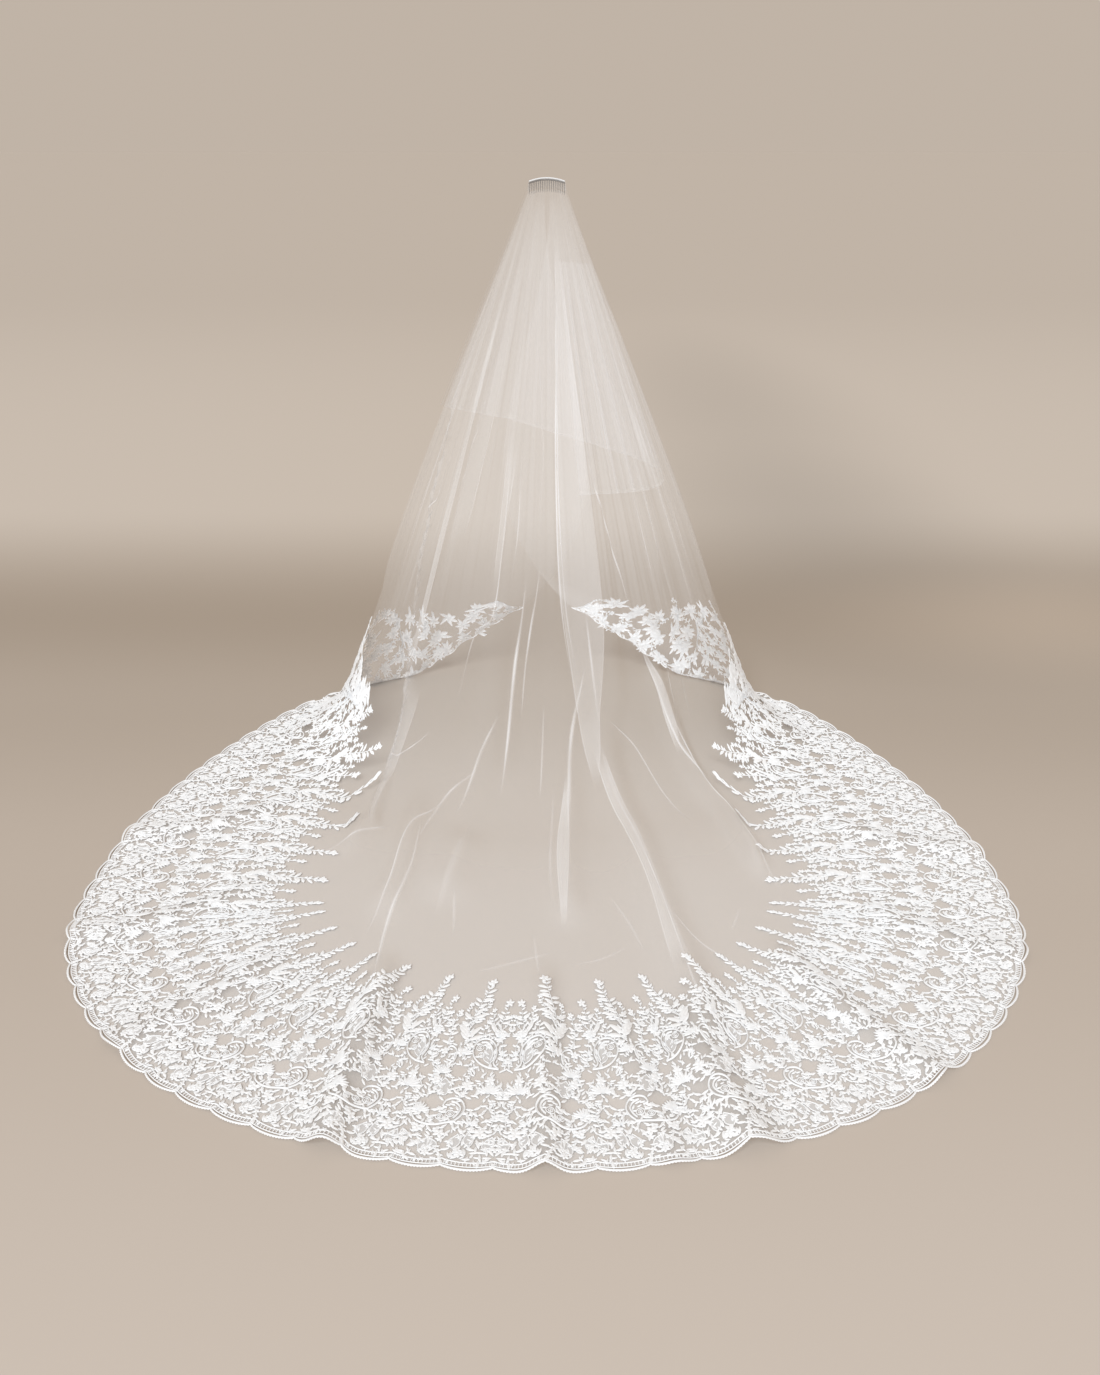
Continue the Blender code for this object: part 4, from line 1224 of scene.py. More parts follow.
    def draw(self, seed: int) -> Drawing:
        """Draw the whole repeat.

        Args:
            seed: Seed of the small unevenness of leaves and petals.

        Returns:
            The drawing, from -half to half.
        """
        work = Drawing(seed)
        self.draw_hem(work)
        self.draw_ground(work)
        for x, y, angle, length, width in self.petals:
            work.net_petal((x, y), angle, length, width, 0.08)
        for x, y, radius in self.flowers:
            work.flower((x, y), radius, work.random.uniform(0, 72))
        for x, y, first, last, length, leaves in self.fans:
            for angle in np.linspace(first, last, leaves):
                size = length * work.random.uniform(0.75, 1.1)
                work.leaf((x, y), angle, size, size * 0.20, 0.001, 0.003, 0.08)
        for x, y, radius in self.rosettes:
            work.rosette((x, y), radius)
        for way in self.scrolls:
            work.cord(smooth_curve(list(way), 4 * len(way)), 0.0042, 0.0036, 0.0012)
        for way, leaf, pitch, flower in self.sprigs:
            work.sprig(list(way), leaf, pitch, flower)
        return work

    def draw_ground(self, work: Drawing) -> None:
        """Fill the ground with small leaves that stop at the gaps and keep clear of the cords."""
        cords = np.vstack([smooth_curve(list(way), 6 * len(way)) for way in self.scrolls])
        knots = np.array(self.rosettes)
        for y in np.arange(0.016, self.ground_top, self.ground_pitch):
            for x in np.arange(-self.half, self.half, self.ground_pitch):
                foot = np.array([x, y]) + work.random.uniform(-0.004, 0.004, 2)
                angle = work.random.uniform(0, 360)
                length = work.random.uniform(0.013, 0.022)
                tip = foot + length * pointing(angle)[0]
                if self.open_at(*foot) or self.open_at(*tip):
                    continue
                if y > 0.11 and work.random.uniform() < 0.08:
                    continue
                middle = (foot + tip) / 2.0
                near_cord = np.linalg.norm(cords - middle, axis=1).min() < self.clear
                near_knot = (np.linalg.norm(knots[:, :2] - middle, axis=1) < knots[:, 2] + 0.002).any()
                if near_cord or near_knot:
                    continue
                work.leaf(tuple(foot), angle, length, length * 0.34, 0.0, 0.0024, 0.1)

    def draw_hem(self, work: Drawing) -> None:
        """Draw the scalloped hem: two cords, a ladder between them and a picot edge."""
        for first in (-self.half, 0.0):
            t = np.linspace(0.0, 1.0, 22)
            bow = np.sin(math.pi * t) ** self.hem_bow
            for y, reach, width, height in self.hem_cords:
                work.cord(np.stack([first + self.half * t, y - reach * bow], axis=1), width, height, 0.0004)
            for share in np.linspace(0.06, 0.94, 13):
                x, drop = first + self.half * share, math.sin(math.pi * share) ** self.hem_bow
                bar = np.array([(x, y - reach * drop) for y, reach, _, _ in self.hem_cords[1:]])
                work.cord(bar, 0.0022, 0.0014, 0.0002)
            for share in np.linspace(0.04, 0.96, 16):
                x, drop = first + self.half * share, math.sin(math.pi * share) ** self.hem_bow
                work.knob((x, -0.0112 * drop), 0.0026, 0.0, 0.0016)


class Side(Enum):
    """A side of the veil as the wearer has it."""

    LEFT = -1
    RIGHT = 1


def mesh_area(piece: bpy.types.Object) -> float:
    """Area of a piece's faces in square metres."""
    areas = np.empty(len(piece.data.polygons), np.float32)
    piece.data.polygons.foreach_get("area", areas)
    return float(areas.sum())


def cut_size(points: Array) -> Pair:
    """Width and length of the flat cut that a grid of points unrolls to.

    Args:
        points: The grid, columns by rows by three.

    Returns:
        Its widest row and its longest column.
    """
    widths = np.linalg.norm(np.diff(points, axis=0), axis=-1).sum(axis=0)
    lengths = np.linalg.norm(np.diff(points, axis=1), axis=-1).sum(axis=1)
    return float(widths.max()), float(lengths.max())


def place_piece(piece: bpy.types.Object, node: str = "") -> None:
    """Let a piece ride on the one body and stand for its solid, if it has one of its own."""
    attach(piece, "root")
    if node:
        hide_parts(node)
    LOG.info("%s: %d faces", piece.name, len(piece.data.polygons))


def state_sheet(piece: bpy.types.Object, size: Pair) -> None:
    """Log the size of a piece's flat cut and its area.

    Args:
        piece: The piece.
        size: Width and length of its cut.
    """
    width, length = size
    area = min(max(mesh_area(piece), 0.31 * width * length), width * length)
    LOG.info("%s: cut %.3f by %.3f, area %.3f", piece.name, width, length, area)


@dataclass
class LongNet:
    """The long tier's net, from under the lace to the heading."""

    surface: Surface
    finish: bpy.types.Material
    columns_a_unit: int = 8
    train_row: float = 0.026
    fall_row: float = 0.040
    past_bend: float = 0.15
    least_train: float = 0.12
    hem_inset: float = 0.004
    bare: float = 0.130
    laid: float = 0.27
    gathered: float = 0.03
    uneven: float = 0.011
    bands: tuple[float, ...] = (1.9, 1.1, 0.63, 0.37)
    over_floor: float = 0.0008
    rise_from: float = 0.45
    rise_over: float = 0.4
    heading_from: float = 0.93
    heading_over: float = 0.07
    heading_thins: float = 0.05
    laid_past: float = 0.35
    laid_over: float = 1.1

    def fall_start(self, place: Array) -> Array:
        """Length inward at which the train becomes the fall."""
        leaves = self.surface.leaves_at(place)
        bend = np.minimum(BEND, BEND_SHARE * leaves)
        past = leaves + bend * self.past_bend / BEND
        return np.maximum(past, self.surface.border(place) + self.least_train)

    def crowding(self, place: Array, inward: Array) -> Array:
        """How closely the threads lie: more where the cloth is gathered, and in soft bands."""
        share = np.clip(inward / self.surface.total_at(place), 0.0, 1.0)
        bands = np.zeros(len(place))
        generator = np.random.default_rng(GATHER_SEED)
        for wavelength in self.bands:
            phase = generator.uniform(0, 6.28)
            bands += np.sin(place * 2.0 * math.pi / wavelength + phase) * generator.uniform(0.5, 1.0)
        rising = smooth_step((share - self.rise_from) / self.rise_over)
        nearing = smooth_step((share - self.heading_from) / self.heading_over)
        laid = smooth_step((self.surface.leaves_at(place) + self.laid_past - inward) / self.laid_over)
        gathers = self.gathered * rising + self.uneven * bands * (0.25 + 0.75 * rising)
        return self.bare + self.laid * laid + gathers * (1.0 - nearing) - self.heading_thins * nearing

    def places_of(self, first: int, last: int) -> Array:
        """Places of the columns of points between two half repeats."""
        return np.linspace(first, last, (last - first) * self.columns_a_unit + 1) * self.surface.unit

    def stretch(
        self, name: str, places: Array, low: Array, high: Array, row: float
    ) -> tuple[bpy.types.Object, Pair]:
        """One stretch of net.

        Args:
            name: The piece's name.
            places: Place of each column.
            low: Where each column starts inward.
            high: Where it ends.
            row: Way between rows.

        Returns:
            The piece and the size of its cut.
        """
        rows = max(int(float((high - low).max()) / row), 4)
        share = np.linspace(0.0, 1.0, rows)
        inward = (low[:, None] + (high - low)[:, None] * share[None, :]).ravel()
        place = np.repeat(places, rows)
        points = self.surface.lay(place, inward, np.full(place.shape, self.over_floor))
        triangles = grid_triangles(len(places), rows)
        cut = np.column_stack([place, inward])
        piece = mesh_piece(name, points, triangles, self.finish, self.crowding(place, inward), cut)
        piece.visible_shadow = False
        return piece, cut_size(points.reshape(len(places), rows, 3))

    def build(self) -> None:
        """Build every stretch, state its cut and let it stand for its solid."""
        for name, first, last in TRAIN_STRETCHES:
            places = self.places_of(first, last)
            low, high = np.full(len(places), self.hem_inset), self.fall_start(places)
            piece, size = self.stretch("net_train_" + name, places, low, high, self.train_row)
            place_piece(piece, "train_net_" + name)
            state_sheet(piece, size)
        for name, first, last in FALL_STRETCHES:
            places = self.places_of(first, last)
            low, high = self.fall_start(places), self.surface.total_at(places)
            piece, size = self.stretch("net_fall_" + name, places, low, high, self.fall_row)
            place_piece(piece, "long_fall_" + name)
            state_sheet(piece, size)


@dataclass
class FoldStrips:
    """The creases and the doubled stretches of the long tier's folds."""

    surface: Surface
    finish: bpy.types.Material
    row: float = 0.015
    height: float = 0.0026
    edge_width: float = 0.0028
    panel_fade: float = 0.14
    over_net: float = 0.0014
    over_crease: float = 0.0016
    least_left: float = 0.25
    probe: float = 0.01
    longest_cut: float = 25.0
    work: list[tuple[Array, ...]] = field(default_factory=list)

    def build(self) -> None:
        """Build all of them as one piece."""
        for panel in PANELS:
            self.add_panel(np.array(panel.left), np.array(panel.right), panel.weight, panel.edge)
        for crease in CREASES:
            self.add_crease(np.array(crease.way), crease.width, crease.weight)
        self.add_gathers()
        points, triangles, crowding, cut = zip(*self.work)
        starts = np.cumsum([0] + [len(part) for part in points[:-1]])
        triangles = np.vstack([part + start for part, start in zip(triangles, starts)])
        piece = mesh_piece(
            "net_folds", np.vstack(points), triangles, self.finish, np.concatenate(crowding), np.vstack(cut)
        )
        piece.visible_shadow = False
        place_piece(piece)
        length = min(sum(crease.way[0][1] - crease.way[-1][1] for crease in CREASES), self.longest_cut)
        nets = ["net_train_" + row[0] for row in TRAIN_STRETCHES]
        nets += ["net_fall_" + row[0] for row in FALL_STRETCHES]
        state_sheet(piece, (mesh_area(piece) / length, length))

    def add_gathers(self) -> None:
        """Fine creases that run down from the heading, uneven in place, length and weight."""
        generator = np.random.default_rng(GATHER_SEED)
        for side in (-1.0, 1.0):
            for i in range(GATHERS_A_SIDE):
                place = side * self.surface.half_hem * (i + generator.uniform(0.05, 0.95)) / GATHERS_A_SIDE
                total = float(self.surface.total_at(np.array([place]))[0])
                leaves = float(self.surface.leaves_at(np.array([place]))[0])
                reach = (total - leaves) * generator.uniform(0.2, 0.8) ** 1.5
                drift = generator.uniform(-0.10, 0.10)
                way = np.array([
                    (place, total - 0.02),
                    (place + drift * 0.3, total - reach * 0.5),
                    (place + drift, total - reach),
                ])
                self.add_crease(way, generator.uniform(0.002, 0.005), generator.uniform(0.10, 0.30))

    def rows_along(self, way: Array, count: int) -> Array:
        """A way's points at even steps of its own run."""
        run = run_of(way)
        return np.array([smooth_rows(run, way, spot) for spot in np.linspace(0.0, run[-1], count)])

    def stretch_at(self, line: Array) -> Array:
        """How many metres one metre of hem spans where the cloth is drawn together."""
        none = np.zeros(len(line))
        ahead = self.surface.lay(line[:, 0] + self.probe, line[:, 1], none)
        behind = self.surface.lay(line[:, 0] - self.probe, line[:, 1], none)
        return np.maximum(np.linalg.norm(ahead - behind, axis=1) / (2.0 * self.probe), 0.02)

    def add(self, place: Array, inward: Array, height: Array, crowding: Array) -> None:
        """Add a strip given as rows from the top down, each from left to right."""
        points = self.surface.lay(place.ravel(), inward.ravel(), height.ravel())
        triangles = grid_triangles(*place.shape)
        cut = np.column_stack([place.ravel(), inward.ravel()])
        self.work.append((points, triangles, crowding.ravel(), cut))

    def add_crease(self, way: Array, width: float, weight: float) -> None:
        """Add a crease that tapers to both ends."""
        count = max(int(run_of(way)[-1] / self.row), 8)
        line = self.rows_along(way, count)
        t = np.linspace(0.0, 1.0, count)
        taper = np.sin(math.pi * np.clip(t, 0.0, 1.0)) ** 0.7
        left = (self.surface.total_at(line[:, 0]) - line[:, 1]) / FULL_FOLD_REACH
        left = np.clip(left, self.least_left, 1.0)
        half = 0.5 * width * (0.25 + 0.75 * taper) * left / self.stretch_at(line)
        across = np.array([-1.0, -0.2, 0.4, 1.0])
        place = line[:, :1] + across[None, :] * half[:, None]
        inward = np.repeat(line[:, 1:], len(across), axis=1)
        shape = np.array([0.0, weight, weight * 0.6, 0.0])
        wander = 0.8 + 0.2 * np.sin(line[:, 1] * 23.0 + line[:, 0] * 31.0)
        crowding = shape[None, :] * (taper * wander)[:, None]
        height = self.over_net + self.height * (1.0 - np.abs(across))[None, :] * np.ones((count, 1))
        self.add(place, inward, height, crowding)

    def add_panel(self, left: Array, right: Array, weight: float, edge: float) -> None:
        """Add a stretch of doubled net between two edges."""
        count = max(int(run_of(left)[-1] / self.row), 8)
        left, right = self.rows_along(left, count), self.rows_along(right, count)
        offset = self.edge_width / self.stretch_at((left + right) / 2.0)
        width = np.maximum(right[:, 0] - left[:, 0], 2.4 * offset)
        near = offset / width
        from_left = [0.0 * near, near * 0.7, near * 1.6]
        from_right = [1.0 - share for share in reversed(from_left)]
        shares = np.stack(from_left + [0.5 + 0.0 * near] + from_right, axis=1)
        place = left[:, :1] + width[:, None] * shares
        inward = left[:, 1:] + (right[:, 1:] - left[:, 1:]) * shares
        t = np.linspace(0.0, 1.0, count) * run_of(left)[-1]
        ends = smooth_step(t / self.panel_fade) * smooth_step((t[-1] - t) / self.panel_fade)
        shape = np.array([0.0, edge, weight, weight * 0.85, weight, edge * 0.85, 0.0])
        height = self.over_crease + self.height * 4.0 * shares * (1.0 - shares)
        self.add(place, inward, height, shape[None, :] * ends[:, None])


@dataclass
class LaceBorder:
    """The corded lace border round the long tier's hem."""

    surface: Surface
    repeater: Repeater
    finish: bpy.types.Material
    over_net: float = 0.0022
    lean_from: float = 0.40
    lean_over: float = 0.2
    hem_allowance: float = 0.012
    spray_from: float = 15.5
    spray_length: float = 0.42
    spray_pitch: float = 0.056
    spray_row: float = 0.062
    narrow: float = 0.08
    narrow_rose: float = 0.018
    rose: Pair = (0.024, 0.032)
    rose_leaf: Pair = (0.032, 0.046)
    sprig_reach: float = 0.055
    edge_step: float = 0.012
    edge_wave: float = 0.006
    edge_lift: float = 0.004
    edge_wavelength: float = 0.0974
    tip_flower: float = 0.036

    def build(self) -> None:
        """Build the repeats and the floral fronts."""
        repeat = LaceRepeat(half=self.surface.unit)
        points, triangles, filled = repeat.draw(seed=3).joined()
        tall = np.clip((points[:, 1] - self.lean_from) / self.lean_over, 0.0, 1.0)
        points[:, 0] -= repeat.lean * tall * tall
        motif = mesh_piece("lace_motif", points, triangles, self.finish, filled)
        LOG.info("lace repeat: %d faces", len(triangles))
        for name, node, first, last, nets in LACE_STRETCHES:
            mirrored = last <= 0
            start = (-last if mirrored else first) * 2.0 * self.surface.unit
            flat, faces, crowding = self.repeater.row_of(
                motif, last - first + 1, start, 2.0 * self.surface.unit, self.finish
            )
            if mirrored:
                flat[:, 0] *= -1.0
                faces = faces[:, ::-1]
            inward = flat[:, 1] * self.surface.border(flat[:, 0]) / FULL_BORDER
            place, inward = self.surface.square_to_hem(flat[:, 0], inward)
            placed = self.surface.lay(place, inward, flat[:, 2] + self.over_net)
            piece = mesh_piece(name, placed, faces, self.finish, crowding)
            place_piece(piece, node)
            size = (float(np.ptp(flat[:, 0])), FULL_BORDER + self.hem_allowance)
            state_sheet(piece, size)
        bpy.data.objects.remove(motif)
        for side in Side:
            self.front(side)

    def front(self, side: Side) -> None:
        """Build the floral spray that the border runs out in at one front corner."""
        sign = float(side.value)
        work = Drawing(11 if side is Side.RIGHT else 12)
        first = self.spray_from * 2.0 * self.surface.unit
        last = self.surface.half_hem - self.hem_allowance
        place = first
        while place < last:
            width = float(self.surface.border(np.array([place]))[0])
            wide = width > self.narrow
            rows = max(int(round(width / self.spray_row)), 1)
            for row in range(rows):
                x = place + work.random.uniform(-0.022, 0.022) + (row % 2) * 0.03
                y = width * (row + 0.5) / rows + work.random.uniform(-0.014, 0.014)
                if x > last:
                    continue
                radius = work.random.uniform(*self.rose) if wide else self.narrow_rose
                work.rose((x, y), radius)
                for _ in range(4):
                    angle = work.random.uniform(0, 360)
                    length = work.random.uniform(*self.rose_leaf) * (1.0 if wide else 0.6)
                    bend = work.random.uniform(-0.2, 0.2)
                    work.leaf((x, y), angle, length, length * 0.24, 0.0005, 0.0026, bend)
                angle = math.radians(work.random.uniform(0, 360))
                end = (x + self.sprig_reach * math.cos(angle), y + self.sprig_reach * math.sin(angle))
                if 0.0 < end[1] < width * 1.05 and end[0] < last:
                    between = (x + 0.03 * math.cos(angle + 0.5), y + 0.03 * math.sin(angle + 0.5))
                    work.sprig([(x, y), between, end], 0.018, 0.011, 0.008)
            place += self.spray_pitch
        edge = np.arange(first - 0.02, last, self.edge_step)
        wave = self.edge_wave * np.sin(edge / self.edge_wavelength * 2.0 * math.pi) + self.edge_lift
        work.cord(np.stack([edge, wave], axis=1), 0.0036, 0.0024, 0.0004)
        for x, y in zip(edge, wave):
            work.leaf((x, y), work.random.uniform(20, 160), 0.020, 0.009, 0.0004, 0.0016)
        work.flower((last - self.tip_flower, self.tip_flower), self.tip_flower, 30.0)
        points, triangles, filled = work.joined()
        points[:, 0] *= sign
        if sign < 0.0:
            triangles = triangles[:, ::-1]
        place, inward = self.surface.upright(points[:, 0], points[:, 1])
        placed = self.surface.lay(place, inward, points[:, 2] + self.over_net)
        word = side.name.lower()
        piece = mesh_piece("lace_spray_" + word, placed, triangles, self.finish, filled)
        place_piece(piece, "lace_border_front_" + word)
        state_sheet(piece, (last - first, self.spray_length))


# The short tier over the face
SHORT_HEM = (
    # turn, drop as a share of DROP
    (-72.0, 0.396),
    (-20.0, 0.444),
    (7.0, 0.481),
    (30.0, 0.505),
    (63.0, 0.527),
    (69.0, 0.539),
)
RETURN_HEM = (
    # turn, drop as a share of DROP
    (12.0, 0.600),
    (30.0, 0.590),
    (60.0, 0.565),
    (69.0, 0.545),
)
SHORT_DEPTH = (
    # share of DROP, standoff
    (0.005, 0.0096),
    (0.0156, 0.0178),
    (0.100, 0.0720),
    (0.650, 0.3390),
)


@dataclass
class ShortTier:
    """The short tier over the face and the edge of it that turns back under."""

    finish: bpy.types.Material
    spread_left: float = 0.80
    spread_right: float = 0.70
    turn_span: float = 140.0
    round_by: float = 0.25
    top: float = 0.005
    wall: float = 0.0012
    return_top: float = 0.14
    return_from: float = 14.8
    return_spread: float = 25.0
    return_depth: float = 0.45
    rows: int = 56
    columns: int = 240
    return_columns: int = 100
    wave_height: float = 0.0055
    wave_from: float = 0.35
    hem_width: float = 0.006
    side_turn: float = 0.8
    metres_a_degree: float = 0.012
    bare: float = 0.10
    doubled: float = 0.118
    doubled_from: float = 0.22
    uneven: float = 0.02
    hem_weight: float = 0.12
    side_weight: float = 0.14

    def point(self, turn_degrees: Array, share: Array) -> Array:
        """Points of the short tier's sheet."""
        turn = np.radians(turn_degrees)
        side = np.clip(0.5 + turn_degrees / self.turn_span, 0.0, 1.0)
        spread = self.spread_left + (self.spread_right - self.spread_left) * side
        half = HEADING_HALF_WIDTH + self.wall + (spread - HEADING_HALF_WIDTH) * share
        bow = BOW * np.sin(turn) ** 2 * (1.0 - share)
        rounded = np.minimum(share / self.round_by, 1.0)
        roundness = HEADING_ROUNDNESS + (1.0 - HEADING_ROUNDNESS) * rounded
        depth = read_table(SHORT_DEPTH, share) * np.cos(turn) ** roundness
        return np.stack([half * np.sin(turn), depth - bow, -DROP * share - bow], axis=-1)

    def sheet(self, name: str, node: str, turns: Array, top: float, high: Array, inset: bool) -> None:
        """One sheet of the tier.

        Args:
            name: The piece's name.
            node: The solid it stands for.
            turns: Turn of each column.
            top: Share of the drop at which it starts.
            high: Share at which each column ends.
            inset: Whether it lies under the tier, as the turned edge does.
        """
        share = top + (high - top)[:, None] * np.linspace(0.0, 1.0, self.rows)[None, :] ** 1.1
        turn = np.repeat(turns[:, None], self.rows, axis=1)
        points = self.point(turn, share)
        flat = np.stack([np.sin(np.radians(turn)), np.cos(np.radians(turn)), np.zeros(turn.shape)], axis=-1)
        wave = 0.5 + 0.5 * np.cos(turn * math.pi / 5.42) + 0.25 * np.sin(turn * 1.31 + 0.7)
        points += flat * (self.wave_height * wave * np.minimum(share / self.wave_from, 1.0))[..., None]
        if inset:
            normal = np.cross(np.gradient(points, axis=0), np.gradient(points, axis=1))
            normal /= np.linalg.norm(normal, axis=-1, keepdims=True)
            long_depth = HEADING_DEPTH + (FOOT_FRONT - HEADING_DEPTH + OVERLAP_STANDOFF) * share
            room = read_table(SHORT_DEPTH, share) - long_depth - OVERLAP_LEAST
            drop_in = self.return_depth * room * smooth_step((turns[-1] - turn) / self.return_spread)
            points -= normal * (self.wall + drop_in)[..., None]
        bands = np.sin(turn * 0.9) + 0.7 * np.sin(turn * 2.3 + 1.0) + 0.5 * np.sin(turn * 5.1 + 2.0)
        sides = smooth_step(1.0 - (turn - turns[0]) / self.side_turn)
        sides = sides + smooth_step(1.0 - (turns[-1] - turn) / self.side_turn)
        crowding = self.bare + self.doubled * smooth_step(share / self.doubled_from) + self.uneven * bands
        edge = smooth_step((share - (high[:, None] - self.hem_width)) / (self.hem_width / 2.0))
        crowding = crowding + self.hem_weight * edge + self.side_weight * sides
        cut = np.stack([turn * self.metres_a_degree, share * DROP], axis=-1).reshape(-1, 2)
        triangles = grid_triangles(len(turns), self.rows)
        piece = mesh_piece(name, points.reshape(-1, 3), triangles, self.finish, crowding.ravel(), cut)
        piece.visible_shadow = False
        place_piece(piece, node)
        state_sheet(piece, cut_size(points))

    def build(self) -> None:
        """Build the tier and its turned edge."""
        left, right = SHORT_HEM[0][0], SHORT_HEM[-1][0]
        turns = np.linspace(left, right, self.columns)
        ends = read_table(SHORT_HEM, turns)
        self.sheet("short_tier_net", "short_tier", turns, self.top, ends, False)
        turns = np.linspace(self.return_from, right, self.return_columns)
        ends = read_table(RETURN_HEM, turns)
        self.sheet("short_tier_turned_edge", "short_tier_return", turns, self.return_top, ends, True)


@dataclass
class Heading:
    """The net gathered over the comb in fine pleats."""

    finish: bpy.types.Material
    pleats: int = 150
    depth: float = 0.0011
    rows: int = 14
    round_share: float = 0.965
    foot_clear: float = 0.0012
    cut_length: float = 0.028

    def build(self) -> None:
        """Build the gathers."""
        columns, rows = self.pleats * 4 + 1, self.rows
        turns = np.linspace(-math.pi * self.round_share, math.pi * self.round_share, columns)
        points = np.empty((columns, rows, 3))
        for i, turn in enumerate(turns):
            low = heading_point(turn, HEADING_DEPTH, HEADING_DROP - self.foot_clear)
            high = heading_point(turn, HEADING_TOP_DEPTH, HEADING_TOP)
            flat = np.array([math.sin(turn), -math.cos(turn), 0.0])
            wave = self.depth * (1.0 + math.sin(turn * self.pleats) * (0.7 + 0.3 * math.sin(turn * 17.0)))
            for j, share in enumerate(np.linspace(0.0, 1.0, rows)):
                points[i, j] = low + (high - low) * share + flat * wave * (1.0 - 0.6 * share)
        crowding = 0.06 + 0.04 * np.cos(np.repeat(turns, rows) * self.pleats)
        cut = np.meshgrid(turns * 0.15, np.linspace(0, HEADING_DROP, rows), indexing="ij")
        cut = np.stack(cut, axis=-1).reshape(-1, 2)
        triangles = grid_triangles(columns, rows)
        points = points.reshape(-1, 3)
        piece = mesh_piece("heading_gathers", points, triangles, self.finish, crowding, cut)
        place_piece(piece, "heading")
        size = (mesh_area(piece) / self.cut_length, self.cut_length)
        state_sheet(piece, size)


def ring_faces(rings: int, sides: int) -> list[tuple[int, int, int]]:
    """Triangles between rings of points that are numbered ring by ring."""
    faces = []
    for ring in range(rings - 1):
        for i in range(sides):
            a, b = ring * sides + i, ring * sides + (i + 1) % sides
            faces += [(a, a + sides, b + sides), (a, b + sides, b)]
    return faces


